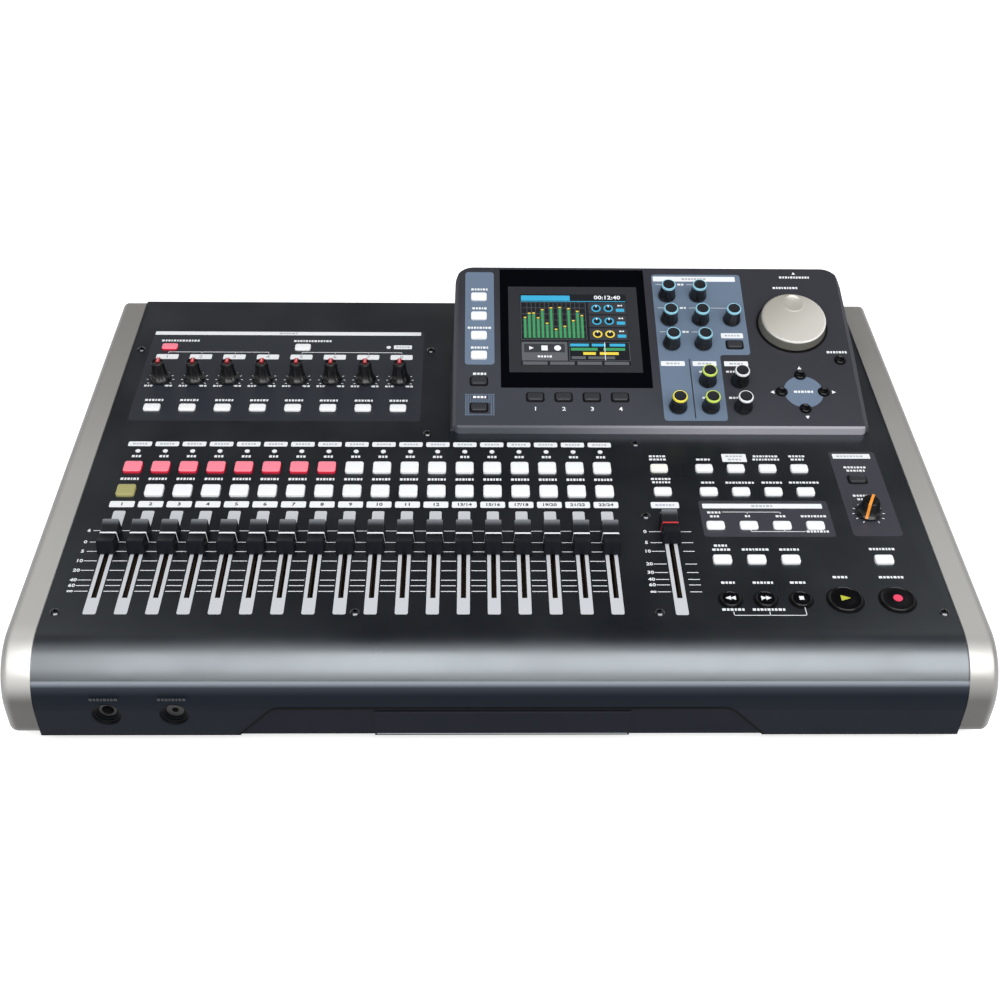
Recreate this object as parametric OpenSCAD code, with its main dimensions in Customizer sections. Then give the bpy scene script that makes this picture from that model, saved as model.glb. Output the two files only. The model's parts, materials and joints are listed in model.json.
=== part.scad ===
// Desktop digital multitrack recorder: a flat control panel with a rolled nose between two end
// cheeks, a row of channel strips on the left, keys on the right and a tilted display pod behind.
// Millimetres. X runs to the right, Y to the rear, Z up. The origin is under the middle of the body.

/* [Body] */
// Overall width over the end cheeks
body_w = 516; // [510:1:540]
// Overall depth from front to rear
body_d = 348; // [342:1:368]
// Height of the control panel's upper face above the table
panel_h = 58; // [57:0.5:64]
// Thickness of the control panel's sheet
sheet = 2; // [1.6:0.1:2.4]
// Thickness of each end cheek
cheek_w = 16; // [13:0.5:18]
// Wall of the hollow end cheeks
cheek_wall = 3; // [2.5:0.1:4]
// Height of the cheeks' edge above the control panel
cheek_proud = 1; // [0.5:0.1:1.5]
// Rounding of the cheeks' outer edge
cheek_round = 4; // [1.5:0.1:4.4]
// Corner radius of the cheeks at the rear top
cheek_rear_r = 5; // [4.5:0.5:12]
// Corner radius of the cheeks along the table
cheek_foot_r = 9; // [5:0.5:12]
// Radius of the rolled front nose
nose_r = 30; // [27:0.5:32]
// Drop of the nose's lower seam below the control panel
seam_drop = 13; // [11:0.5:15]
// Gap of the seam between nose and fascia
seam_gap = 0.4; // [0.3:0.1:1]
// Depth of the ledges behind the seam
seam_ledge = 7; // [5:0.5:9]
// Gap between the cheeks and the table
ground_gap = 8; // [7:0.1:9]

/* [Fascia] */
// Thickness of the front fascia
fascia_t = 2.5; // [2.2:0.1:3]
// Gap between the fascia and the table
fascia_gap = 9.6; // [8.6:0.1:10.4]
// Height by which the fascia stands proud of the nose
fascia_proud = 0.8; // [0.4:0.1:0.9]
// Width of the middle recess along its lower edge
recess_w = 277; // [250:1:290]
// Width of the middle recess along its upper edge
recess_top_w = 239; // [220:1:246]
// Height of the middle recess's upper edge above the table
recess_h = 30.4; // [28:0.2:32]
// Radius of the middle recess's upper corners
recess_r = 10; // [4:0.5:14]
// Depth of the middle recess
recess_depth = 1; // [0.6:0.1:1.2]
// Width of the raised plain plate in the recess
plate_w = 134; // [100:1:160]
// Height of the raised plate's upper edge above the table
plate_h = 27; // [20:0.5:27.5]
// Distance of the first front jack from the left cheek
jack_margin = 36.8; // [30:0.2:44]
// Spacing of the two front jacks
jack_pitch = 34.9; // [30:0.1:45]
// Height of the front jacks above the table
jack_h = 25.7; // [25:0.1:28]
// Diameter of the dish round a front jack
dish_d = 15.6; // [14.6:0.1:17]
// Depth of the dish round a front jack
dish_depth = 4.5; // [3:0.1:6]
// Wall behind and round a dish
dish_wall = 1.6; // [1.2:0.1:2]
// Diameter of the remote jack's bore
remote_bore_d = 3.6; // [3.5:0.05:4]

/* [Base] */
// Thickness of the bottom pan and the rear panel
pan_t = 1.5; // [1:0.1:2]
// Height of the pan's turned-up lips
pan_lip = 5; // [3:0.5:5.5]
// Setback of the rear panel under the control panel's rear edge
rear_setback = 7.5; // [7:0.5:10]
// Height of the rubber feet
foot_h = 9; // [8.5:0.1:10]
// Diameter of a rubber foot
foot_d = 20; // [14:0.5:26]
// Distance of the feet from the pan's edges
foot_inset = 30; // [20:1:45]

/* [Channel strips] */
// Spacing of the channel strips
strip_pitch = 16.4; // [15.6:0.1:16.8]
// Distance of the first strip from the left cheek
strip_margin = 24.5; // [22.5:0.5:28]
// Distance of the faders' zero mark from the front
zero_set = 97.4; // [94:0.2:100]
// Travel of a channel fader above its zero mark
fader_up = 10.3; // [8:0.1:12]
// Travel of a channel fader below its zero mark
fader_down = 38.9; // [34:0.1:41]
// Width of a fader slot
slot_w = 2.8; // [2.4:0.1:3.4]
// Distance of the select keys from the front
select_set = 142.6; // [140:0.2:146]
// Distance of the record-arm keys from the front
arm_set = 164.2; // [158:0.2:166]
// Width of a channel key
strip_key_w = 10.8; // [9:0.1:12]
// Length of a channel key
strip_key_l = 9.8; // [8:0.1:11]

/* [Fader caps] */
// Length of a fader cap
cap_l = 20.5; // [18:0.5:23]
// Width of a fader cap at its base
cap_w = 10.2; // [9.6:0.1:11.5]
// Width of a fader cap at its crest
cap_top_w = 9.2; // [7.5:0.1:9.6]
// Height of a fader cap's crest above the panel
cap_h = 10; // [9:0.1:12]
// Depth of the finger saddle in a fader cap
saddle = 2.2; // [1.2:0.1:2.6]
// Length by which a cap's end leans in from base to crest
cap_lean = 0.8; // [0.3:0.1:1.2]
// Gap between a fader cap and the panel
cap_gap = 1; // [0.6:0.1:1.4]
// Thickness of a fader lever
lever_t = 1.2; // [1:0.1:1.6]
// Length of a fader lever along its travel
lever_l = 5; // [4:0.1:6]
// Depth of a fader lever below the panel's upper face
lever_drop = 11; // [9:0.1:12]

/* [Keys] */
// Width of a function key
key_w = 10.4; // [9:0.1:12]
// Length of a function key
key_l = 6.6; // [5:0.1:7.4]
// Corner radius of the keys
key_r = 1.5; // [0.8:0.1:2]
// Height of the keys above their panel
key_rise = 1.6; // [1.2:0.1:2.5]
// Travel of the keys
key_press = 0.8; // [0.5:0.1:1]
// Gap round a key in its opening
key_clear = 0.4; // [0.3:0.05:0.6]
// Thickness of the key mats
web_t = 1.2; // [0.8:0.1:1.4]
// Reach of a key mat past its keys
web_rim = 1.2; // [0.9:0.1:1.5]
// Gap between a key mat and the panel over it
web_gap = 0.25; // [0.2:0.05:0.4]

/* [Input section] */
// Spacing of the trim knobs
trim_pitch = 22; // [20:0.1:23]
// Distance of the first trim knob from the left cheek
trim_margin = 25; // [22:0.5:28]
// Distance of the trim knobs from the rear
trim_set = 93.4; // [90:0.2:96]
// Distance of the source keys from the rear
source_set = 124.4; // [120:0.2:128]
// Distance of the supply keys from the rear
supply_set = 56.8; // [54:0.2:60]

/* [Function keys] */
// Distance of the first function column from the right cheek
fn_margin = 119.5; // [115:0.5:124]
// Spacing of the function columns
fn_pitch = 19.05; // [17:0.05:20]
// Distance of the third key row from the front
fn_row3_set = 112.4; // [108:0.2:116]
// Distance of the fourth key row from the front
fn_row4_set = 84; // [78:0.2:88]
// Distance of the master fader from the right cheek
master_margin = 146.5; // [142:0.5:152]
// Distance of the master fader's rest mark from the front
master_set = 106.6; // [104:0.2:109]
// Distance of the monitor column from the right cheek
monitor_margin = 29.4; // [26:0.1:32]
// Distance of the monitor key from the front
monitor_key_set = 154.2; // [150:0.2:158]
// Distance of the monitor knob from the front
monitor_set = 123.5; // [118:0.2:128]

/* [Transport keys] */
// Distance of the transport keys from the front
transport_set = 52.4; // [48:0.2:56]
// Diameter of a wind key
wind_d = 11.4; // [10:0.1:12]
// Distance of the play key from the right cheek
play_margin = 57.6; // [54:0.1:60]
// Diameter of the play and record keys
big_key_d = 18.6; // [16:0.1:20]

/* [Knobs] */
// Diameter of a pointer knob's skirt
knob_d = 12.6; // [11:0.1:14]
// Diameter of a pointer knob's top
knob_top_d = 8.6; // [8:0.1:10]
// Height of a pointer knob's top above the panel
knob_h = 14; // [12:0.1:16]
// Gap between a knob and the panel
knob_gap = 0.8; // [0.5:0.1:1.2]
// Thickness of a pointer knob's skirt
skirt_t = 1.4; // [1:0.1:2]
// Diameter of the knob shafts
shaft_d = 6; // [5.5:0.1:6.2]
// Radial clearance of a shaft in its bushing
shaft_clear = 0.08; // [0.05:0.01:0.1]
// Wall of the shaft bushings
bushing_wall = 1; // [0.8:0.1:1.2]
// Gap round a bushing in its panel
bushing_clear = 0.4; // [0.3:0.1:0.6]

/* [Display pod] */
// Width of the pod
pod_w = 255.2; // [252:0.5:262]
// Distance of the pod from the right cheek
pod_margin = 14.3; // [10:0.1:16]
// Tilt of the pod's face in degrees
pod_tilt = 16; // [14:0.5:18]
// Length of the pod's face along its slope
pod_run = 132.1; // [131:0.1:136]
// Distance of the pod's rear wall from the rear
pod_set = 22.8; // [18:0.2:26]
// Height of the pod's front edge above the panel
pod_lip = 5.7; // [5:0.1:7]
// Wall of the pod
pod_wall = 3; // [2.6:0.1:3.4]
// Radius of the pod's rear corners
pod_corner = 12; // [8:0.5:14]
// Radius of the pod's front corners
pod_front_r = 3.6; // [3.4:0.1:7]
// Bevel along the pod's front edge
pod_bevel = 0.8; // [0.4:0.1:2]
// Bevel along the pod's sides
pod_side_bevel = 2; // [0.8:0.1:2.4]
// Depth of the pod board below the pod's face
pod_board_drop = 12; // [11:0.2:13]

/* [Display] */
// Width of the window
window_w = 95.2; // [92:0.1:97]
// Length of the window along the slope
window_l = 100.1; // [98:0.1:101]
// Thickness of the window
window_t = 1.8; // [1.4:0.1:2]
// Distance of the window from the pod's left side
window_margin = 29.3; // [28.5:0.1:31]
// Distance of the window from the pod's rear edge
window_set = 1.7; // [1.4:0.1:2]
// Gap round the window in its seat
window_clear = 0.15; // [0.1:0.05:0.3]
// Width of the display module
lcd_w = 84; // [80:0.5:86]
// Length of the display module
lcd_l = 72; // [68:0.5:74]
// Distance of the display's middle in front of the window's middle
lcd_shift = 1.2; // [0:0.1:2]
// Rim by which the display module seats under the pod's face
lcd_rim = 3; // [2:0.1:3.5]
// Thickness of the display module behind the pod's face
lcd_t = 5; // [4:0.1:6]

/* [Encoders] */
// Spacing of the encoder columns
enc_pitch = 20.3; // [19:0.1:20.8]
// Distance of the first encoder column from the pod's left side
enc_margin = 138.9; // [137:0.1:141]
// Distance of the lowest tone encoders up the slope
tone_run = 65.8; // [64:0.1:67]
// Spacing of the tone encoder rows
tone_pitch = 20.5; // [19:0.1:21]
// Distance of the lower send encoders up the slope
send_run = 14.8; // [13:0.1:16]
// Spacing of the send encoder rows
send_pitch = 20.6; // [19:0.1:21]
// Diameter of an encoder knob at its base
enc_d = 11.4; // [10:0.1:13]
// Diameter of an encoder knob at its top
enc_top_d = 9.6; // [9:0.1:11]
// Height of an encoder knob's top above the pod's face
enc_h = 11; // [9:0.1:13]

/* [Jog dial] */
// Diameter of the jog dial at its top
jog_d = 41.6; // [38:0.1:43]
// Diameter of the jog dial at its base
jog_base_d = 43.6; // [43:0.1:45]
// Height of the jog dial above the pod's face
jog_h = 8; // [6:0.1:10]
// Distance of the jog dial's axis from the pod's right side
jog_margin = 36.8; // [34:0.1:40]
// Distance of the jog dial's axis up the slope
jog_run = 82.2; // [80:0.1:84]
// Diameter of the finger dimple
dimple_d = 14; // [10:0.1:15]
// Depth of the finger dimple
dimple_depth = 1.2; // [0.6:0.1:1.6]
// Distance of the finger dimple from the dial's axis
dimple_set = 12.6; // [11:0.1:13]

/* [Pod keys] */
// Distance of the pod's key column from its left side
column_margin = 15.4; // [14:0.1:17]
// Spacing of the four upper keys in that column
column_pitch = 16.5; // [15:0.1:17]
// Distance of the column's fourth key up the slope
column_run = 56; // [54:0.1:58]
// Distance of the column's dark upper key up the slope
menu_run = 35.2; // [33:0.1:37]
// Distance of the column's lowest key up the slope
home_run = 14.4; // [12:0.1:16]
// Spacing of the keys under the display
soft_pitch = 17.63; // [16:0.1:18.5]
// Distance of the keys under the display up the slope
soft_run = 22.7; // [21:0.1:24]
// Diameter of the small round keys
small_d = 6.5; // [5.5:0.1:7.5]
// Distance of the cursor cross up the slope
cursor_run = 27.7; // [26:0.1:29]
// Distance of each cursor key from the middle of the cross
cursor_reach = 13.3; // [12:0.1:15]
// Distance of the jog dial's small key from the pod's right side
jog_key_margin = 9.5; // [8:0.1:11]
// Distance of the jog dial's small key up the slope
jog_key_run = 53.4; // [51:0.1:54]

/* [Boards] */
// Thickness of the circuit boards
board_t = 1.6; // [1.2:0.1:2]
// Depth of the main board below the panel's upper face
board_drop = 16; // [15:0.2:18]
// Distance of the main board's front edge from the front
board_front_set = 38; // [34:0.5:42]
// Distance of the main board's rear edge from the rear
board_rear_set = 48; // [44:0.5:52]
// Solder gap between a board and what stands on it
solder_gap = 0.1; // [0.05:0.05:0.2]
// Width of a slide pot
pot_w = 7.5; // [6:0.1:9]
// Width of a rotary pot or encoder body
rotor_w = 10.5; // [9:0.1:12]
// Height of a rotary pot or encoder body
rotor_h = 5.5; // [4.5:0.1:6]
// Width of a key switch
switch_w = 5; // [4:0.1:6]
// Diameter of a key switch's stem
stem_d = 3; // [2.4:0.1:3.5]

/* [Screws] */
// Diameter of a panel screw's head
screw_head_d = 5.6; // [5:0.1:6.5]
// Height of a panel screw's head
screw_head_h = 1.3; // [1:0.1:1.8]
// Diameter of a panel screw's shank
screw_d = 3; // [2.5:0.1:3.5]
// Length of a panel screw's shank
screw_l = 8; // [6:0.5:10]
// Distance of the front screws from the front
screw_front_set = 43; // [41:0.2:47]
// Distance of the side screws from the cheeks
screw_side_set = 6.4; // [5.5:0.1:8]
// Distance of the rear screws from the rear
screw_rear_set = 59; // [55:0.2:63]
// Diameter of the pillars under the panel screws
pillar_d = 6; // [5.5:0.1:7]

/* [Sockets] */
// Diameter of a jack's bore
bore_d = 6.5; // [6.35:0.05:7]
// Depth of a jack's bore
bore_l = 18; // [15:0.5:20]
// Wall of a jack's barrel
barrel_wall = 1.3; // [1:0.1:1.5]
// Height of the rear sockets above the table
socket_h = 31; // [29:0.5:33]
// Distance of the first rear input socket from the left cheek
input_margin = 22; // [20:0.5:26]
// Spacing of the rear input sockets
input_pitch = 27.5; // [26.5:0.1:28]
// Width of an input socket's face
input_w = 25; // [24:0.5:26]
// Length of an input socket's face
input_l = 30; // [28:0.5:32]
// Diameter of an input socket's barrel
input_d = 21; // [20:0.5:22]
// Spacing of the line output jacks
line_pitch = 19; // [18:0.1:20]
// Distance of the first line output from the right cheek
line_margin = 238; // [235:0.5:242]
// Diameter of a pin jack's sleeve
pin_jack_d = 8.3; // [8.2:0.1:8.4]
// Length of a pin jack's sleeve
pin_jack_l = 6; // [5:0.1:7]
// Spacing of the pin jacks
pin_jack_pitch = 15; // [14:0.5:16]
// Distance of the first pin jack from the right cheek
pin_jack_margin = 158; // [156:0.5:162]
// Diameter of a round control socket
control_d = 15; // [14:0.1:16]
// Spacing of the control sockets
control_pitch = 22; // [20:0.5:24]
// Distance of the first control socket from the right cheek
control_margin = 104; // [100:0.5:108]
// Distance of the standby button from the right cheek
standby_margin = 46; // [42:0.5:52]
// Diameter of the standby button
standby_d = 9; // [7:0.1:11]
// Travel of the standby button
standby_press = 2; // [1:0.1:2.5]
// Distance of the DC inlet from the right cheek
inlet_margin = 18; // [16:0.5:22]
// Diameter of the DC inlet's mouth
inlet_d = 6; // [5.5:0.1:6.5]

/* [Hidden] */
$fn = 48;
// Overshoot of cutting shapes past the faces they cut
over = 1;
strip_count = 18;
trim_count = 8;
soft_count = 4;
line_count = 4;
pin_jack_count = 3;
control_count = 2;

graphite = [0.16, 0.17, 0.19];
pod_grey = [0.24, 0.24, 0.26];
silver = [0.68, 0.67, 0.64];
black = [0.06, 0.06, 0.07];
white = [0.92, 0.92, 0.92];

inner_l = -body_w / 2 + cheek_w;
inner_r = -inner_l;
inner_w = inner_r - inner_l;
front_y = -body_d / 2;
rear_y = body_d / 2;
panel_under = panel_h - sheet;

// Inner width, depth and pod width that the spacings are given for; the layout spreads with the real ones
plan_w = 484;
plan_d = 348;
plan_pod_w = 255.2;
spread_x = inner_w / plan_w;
spread_y = body_d / plan_d;
pod_span = pod_w * spread_x;
spread_pod = pod_span / plan_pod_w;

nose_y = front_y + cheek_proud + nose_r;
nose_z = panel_h - nose_r;
seam_z = panel_h - seam_drop;
seam_y = nose_y - sqrt(pow(nose_r, 2) - pow(seam_z - nose_z, 2));
fascia_y = nose_y - nose_r - fascia_proud;
fascia_top = seam_z - seam_gap;
jack_seat = fascia_y + dish_depth + dish_wall;

pan_top = foot_h + pan_t;
rear_face = rear_y - rear_setback;
rear_inside = rear_face - pan_t;

function from_left(set) = inner_l + spread_x * set;
function from_right(set) = inner_r - spread_x * set;
function from_front(set) = front_y + spread_y * set;
function from_rear(set) = rear_y - spread_y * set;

zero_y = from_front(zero_set);
select_y = from_front(select_set);
arm_y = from_front(arm_set);
fn_rows = [arm_y, select_y, from_front(fn_row3_set), from_front(fn_row4_set)];
master_x = from_right(master_margin);
master_y = from_front(master_set);
monitor_x = from_right(monitor_margin);
monitor_y = from_front(monitor_set);
transport_y = from_front(transport_set);
play_x = from_right(play_margin);
trim_y = from_rear(trim_set);
source_y = from_rear(source_set);
supply_y = from_rear(supply_set);

function strip_x(i) = from_left(strip_margin + i * strip_pitch);
function trim_x(i) = from_left(trim_margin + i * trim_pitch);
function fn_col(i) = from_right(fn_margin - i * fn_pitch);

// Key lists hold the middle of each key on its panel
arm_keys = [for (i = [0 : strip_count - 1]) [strip_x(i), arm_y]];
select_keys = [for (i = [0 : strip_count - 1]) [strip_x(i), select_y]];
source_keys = [for (i = [0 : trim_count - 1]) [trim_x(i), source_y]];
supply_keys = [for (i = [0, trim_count / 2]) [trim_x(i), supply_y]];
grid_keys = [for (r = [0 : 3], c = [0 : r == 3 ? 2 : 3]) [fn_col(c), fn_rows[r]]];
master_keys = [[master_x, arm_y], [master_x, select_y]];
monitor_keys = [[monitor_x, from_front(monitor_key_set)], [monitor_x, fn_rows[3]]];
wind_keys = [for (c = [0 : 2]) [fn_col(c), transport_y]];
big_keys = [[play_x, transport_y], [monitor_x, transport_y]];

master_down = master_y - zero_y + fader_down;
lever_room = 1;
lever_clear = 0.3;
pot_gap = 3;
slot_end = lever_l / 2 + 2 * lever_room;

board_top = panel_h - board_drop;
web_top = panel_under - web_gap;
stem_gap = 0.3;
stem_top = web_top - web_t - key_press - stem_gap;
socket_fit = 0.05;
rotor_floor = 1;
shaft_gap = 0.4;

pod_r = from_right(pod_margin);
pod_l = pod_r - pod_span;
pod_rear = from_rear(pod_set);
pod_front = pod_rear - pod_run * cos(pod_tilt);
pod_z = panel_h + pod_lip;
pod_rim = pod_wall + 1;
pod_web_top = -pod_wall - web_gap;
pod_stem_top = pod_web_top - web_t - key_press - stem_gap;
window_span = window_w * spread_pod;
lcd_span = lcd_w * spread_pod;
column_x = pod_l + column_margin * spread_pod;
window_x = pod_l + window_margin * spread_pod + window_span / 2;
window_run = pod_run - window_set - window_l / 2;
lcd_run = window_run - lcd_shift;
lcd_clear = 0.3;
lcd_gap = 0.2;
jog_x = pod_r - jog_margin * spread_pod;
enc_runs = [for (i = [2, 1, 0]) tone_run + i * tone_pitch];
send_runs = [send_run + send_pitch, send_run];

function enc_x(col) = pod_l + spread_pod * (enc_margin + col * enc_pitch);
function enc_at(col, row) = [enc_x(col), enc_runs[row]];
tone_encoders = [for (p = [[0, 0], [1, 0], [0, 1], [1, 1], [2, 1], [0, 2], [1, 2]]) enc_at(p[0], p[1])];
send_encoders = [for (t = send_runs) [enc_x(1), t]];
main_encoders = [for (t = send_runs) [enc_x(2), t]];
pan_encoders = [[enc_x(0), send_run]];
encoders = concat(tone_encoders, pan_encoders, send_encoders, main_encoders);
encoder_names = concat(
    [for (i = [1 : len(tone_encoders)]) str("tone_encoder_", i)], ["pan_encoder"],
    [for (i = [1 : len(send_encoders)]) str("send_encoder_", i)],
    [for (i = [1 : len(main_encoders)]) str("main_send_encoder_", i)]);

pod_keys_flat = concat(
    [for (i = [0 : 3]) [column_x, column_run + i * column_pitch]],
    [[column_x, menu_run], [column_x, home_run]],
    [for (i = [0 : soft_count - 1]) [window_x + (i - (soft_count - 1) / 2) * soft_pitch * spread_pod,
        soft_run]],
    [enc_at(2, 2)]);
cursor_keys = [for (a = [0 : 90 : 270])
    [jog_x + cursor_reach * cos(a), cursor_run + cursor_reach * sin(a)]];
jog_play_key = [pod_r - jog_key_margin * spread_pod, jog_key_run];
pod_keys_round = concat(cursor_keys, [jog_play_key]);

front_screw_y = front_y + screw_front_set;
rear_screw_y = rear_y - screw_rear_set;
pod_screw_gap = 16.4;
pod_screw_lead = 9.6;
master_screw_gap = 12;
row_screw_gap = 8.7;
screw_spots = [
    [inner_l + screw_side_set, front_screw_y],
    [(strip_x(8) + strip_x(9)) / 2, front_screw_y],
    [master_x - master_screw_gap, front_screw_y],
    [inner_r - screw_side_set, front_screw_y],
    [inner_l + screw_side_set, rear_screw_y],
    [pod_l - pod_screw_gap, rear_screw_y],
    [pod_l - pod_screw_gap, pod_front],
    [master_x - master_screw_gap, pod_front - pod_screw_lead],
    [master_x - master_screw_gap, fn_rows[2] + row_screw_gap]];
boss_d = 5;
boss_inset = 6.2;
boss_front_run = 46;
boss_rear_set = 14.1;
boss_xs = [pod_l + boss_inset, window_x + window_span / 2 + boss_d / 2 + over,
    (enc_x(2) + rotor_w / 2 + jog_x - rotor_w / 2) / 2, pod_r - boss_inset];
boss_runs = [boss_front_run, pod_run - boss_rear_set];
pod_bosses = [for (x = boss_xs, t = boss_runs) [x, t]];

// Places of the front and rear sockets along X
jacks = [for (i = [0, 1]) from_left(jack_margin + i * jack_pitch)];
jack_bores = [bore_d, remote_bore_d];
jack_proud = 1;
jack_mouth = fascia_y + dish_depth - jack_proud;
barrel_d = bore_d + 2 * barrel_wall;
barrel_floor = 3;
hole_clear = 0.4;
inputs = [for (i = [0 : trim_count - 1]) from_left(input_margin + i * input_pitch)];
lines = [for (i = [0 : line_count - 1]) from_right(line_margin - i * line_pitch)];
pin_jacks = [for (i = [0 : pin_jack_count - 1]) from_right(pin_jack_margin - i * pin_jack_pitch)];
controls = [for (i = [0 : control_count - 1]) from_right(control_margin - i * control_pitch)];
standby_x = from_right(standby_margin);
inlet_x = from_right(inlet_margin);
inlet_w = inlet_d + 5;

fixed_nodes = ["base_pan", "rear_panel", "top_panel", "front_fascia", "left_end_cheek",
    "right_end_cheek", "display_pod", "display_window", "display_module", "circuit_boards",
    "jack_sockets", "panel_screws", "rubber_feet"];
key_nodes = ["channel_keys", "function_keys", "pod_keys", "play_key", "record_key", "standby_button"];
fader_names = [for (i = [1 : strip_count]) str("channel_fader_", i)];
trim_names = [for (i = [1 : trim_count]) str("trim_knob_", i)];

// Flat outline with true round corners
module rounded(w, l, r) {
    square([w - 2 * r, l], center = true);
    square([w, l - 2 * r], center = true);
    for (sx = [-1, 1], sy = [-1, 1])
        translate([sx * (w / 2 - r), sy * (l / 2 - r)]) circle(r);
}

// Flat rectangle between two corners
module box2(a, b) {
    translate(a) square(b - a);
}

// Section drawn in Y and Z, run along X
module along_x(x, length) {
    translate([x, 0, 0]) rotate([90, 0, 90]) linear_extrude(length) children();
}

// Section drawn in X and Z, run along Y towards the rear
module along_y(y, length) {
    translate([0, y + length, 0]) rotate([90, 0, 0]) linear_extrude(length) children();
}

// Frame of the pod's face: X to the right, Y up the slope from the front edge, Z out of the face
module on_pod() {
    translate([0, pod_front, pod_z]) rotate([pod_tilt, 0, 0]) children();
}

module at(spots, z = 0) {
    for (p = spots) translate([p[0], p[1], z]) children();
}

// A peg along Y that points to the front from y
module peg(x, y, z, d, length) {
    translate([x, y, z]) rotate([90, 0, 0]) cylinder(d = d, h = length);
}

module panel_holes() {
    for (i = [0 : strip_count - 1]) fader_slot(strip_x(i), zero_y, fader_up, fader_down);
    fader_slot(master_x, master_y, 0, master_down);
    at(concat(arm_keys, select_keys))
        rounded(strip_key_w + 2 * key_clear, strip_key_l + 2 * key_clear, key_r + key_clear);
    at(concat(source_keys, supply_keys, grid_keys, master_keys, monitor_keys))
        rounded(key_w + 2 * key_clear, key_l + 2 * key_clear, key_r + key_clear);
    at(wind_keys) circle(d = wind_d + 2 * key_clear);
    at(big_keys) circle(d = big_key_d + 2 * key_clear);
    at(concat([for (i = [0 : trim_count - 1]) [trim_x(i), trim_y]], [[monitor_x, monitor_y]]))
        circle(d = bushing_d() + 2 * bushing_clear);
    at(screw_spots) circle(d = screw_d + hole_clear);
    // Opening under the pod for its board
    box2([pod_l + pod_rim, pod_front + pod_rim], [pod_r - pod_rim, pod_rear - pod_corner - over]);
}

function bushing_d() = shaft_d + 2 * shaft_clear + 2 * bushing_wall;

module fader_slot(x, y, up, down) {
    box2([x - slot_w / 2, y - down - slot_end], [x + slot_w / 2, y + up + slot_end]);
}

module top_panel() {
    color(graphite) union() {
        translate([0, 0, panel_under]) linear_extrude(sheet) difference() {
            box2([inner_l, nose_y], [inner_r, rear_y]);
            panel_holes();
        }
        along_x(inner_l, inner_w) nose_section();
    }
}

// Rolled front edge with a ledge turned in along the seam
module nose_section() {
    intersection() {
        box2([front_y, seam_z], [nose_y, panel_h]);
        difference() {
            translate([nose_y, nose_z]) circle(nose_r);
            translate([nose_y, nose_z]) circle(nose_r - sheet);
        }
    }
    intersection() {
        box2([seam_y - over, seam_z], [seam_y + seam_ledge, seam_z + sheet]);
        translate([nose_y, nose_z]) circle(nose_r);
    }
}

// Curved face that carries on the nose's arc, then drops straight, with a ledge under the seam
module fascia_section() {
    outer = nose_r + fascia_proud;
    intersection() {
        box2([fascia_y - over, nose_z], [nose_y, fascia_top]);
        difference() {
            translate([nose_y, nose_z]) circle(outer);
            translate([nose_y, nose_z]) circle(outer - fascia_t);
        }
    }
    intersection() {
        box2([fascia_y, fascia_top - fascia_t], [seam_y + seam_ledge, fascia_top]);
        translate([nose_y, nose_z]) circle(outer);
    }
    box2([fascia_y, fascia_gap], [fascia_y + fascia_t, nose_z + over]);
}

// Outline of the middle recess in X and Z: a trapezium whose upper corners are arcs
module recess_outline() {
    turn = atan2(recess_h - fascia_gap, (recess_w - recess_top_w) / 2);
    middle = [recess_top_w / 2 - recess_r * tan(turn / 2), recess_h - recess_r];
    steps = 8;
    right = [for (i = [0 : steps]) middle + recess_r * [sin(turn * i / steps), cos(turn * i / steps)]];
    left = [for (i = [steps : -1 : 0]) [-right[i][0], right[i][1]]];
    polygon(concat(right, [[recess_w / 2, fascia_gap], [recess_w / 2, fascia_gap - over],
        [-recess_w / 2, fascia_gap - over], [-recess_w / 2, fascia_gap]], left));
}

module front_fascia() {
    boss_front = fascia_y + fascia_t - over / 2;
    color(graphite) difference() {
        union() {
            along_x(inner_l, inner_w) fascia_section();
            for (x = jacks) peg(x, jack_seat, jack_h, dish_d + 2 * dish_wall, jack_seat - boss_front);
        }
        along_y(fascia_y - over, over + recess_depth) difference() {
            recess_outline();
            box2([-plate_w / 2, fascia_gap - over], [plate_w / 2, plate_h]);
        }
        for (x = jacks) {
            peg(x, jack_seat + over, jack_h, barrel_d + 2 * hole_clear, dish_wall + 2 * over);
            peg(x, fascia_y + dish_depth, jack_h, dish_d, dish_depth + over);
        }
    }
}

// Quarter of a round cheek corner with the outer edge rounded over; turn 0 faces down and to the rear
module cheek_corner(y, z, r, turn) {
    translate([0, y, z]) rotate([turn, 0, 0]) rotate([0, 90, 0]) rotate_extrude(angle = 90, $fn = 80) {
        square([r, cheek_w - cheek_round]);
        square([r - cheek_round, cheek_w]);
        translate([r - cheek_round, cheek_w - cheek_round]) intersection() {
            circle(cheek_round, $fn = 24);
            square(cheek_round);
        }
    }
}

module cheek_cavity(y, z, r, turn) {
    translate([-over, y, z]) rotate([turn, 0, 0]) rotate([0, 90, 0]) rotate_extrude(angle = 90, $fn = 80)
        square([r - cheek_wall, over + cheek_w - cheek_wall]);
}

// Hollow cheek seen as four round corners
module cheek() {
    top_z = panel_h + cheek_proud;
    corners = [
        [rear_y - cheek_foot_r, ground_gap + cheek_foot_r, cheek_foot_r],
        [rear_y - cheek_rear_r, top_z - cheek_rear_r, cheek_rear_r],
        [nose_y, nose_z, nose_r + cheek_proud],
        [front_y + cheek_foot_r, ground_gap + cheek_foot_r, cheek_foot_r]];
    difference() {
        hull() for (i = [0 : 3]) cheek_corner(corners[i][0], corners[i][1], corners[i][2], 90 * i);
        hull() for (i = [0 : 3]) cheek_cavity(corners[i][0], corners[i][1], corners[i][2], 90 * i);
    }
}

module right_end_cheek() {
    color(silver) translate([inner_r, 0, 0]) cheek();
}

module left_end_cheek() {
    color(silver) mirror([1, 0, 0]) translate([inner_r, 0, 0]) cheek();
}

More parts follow.
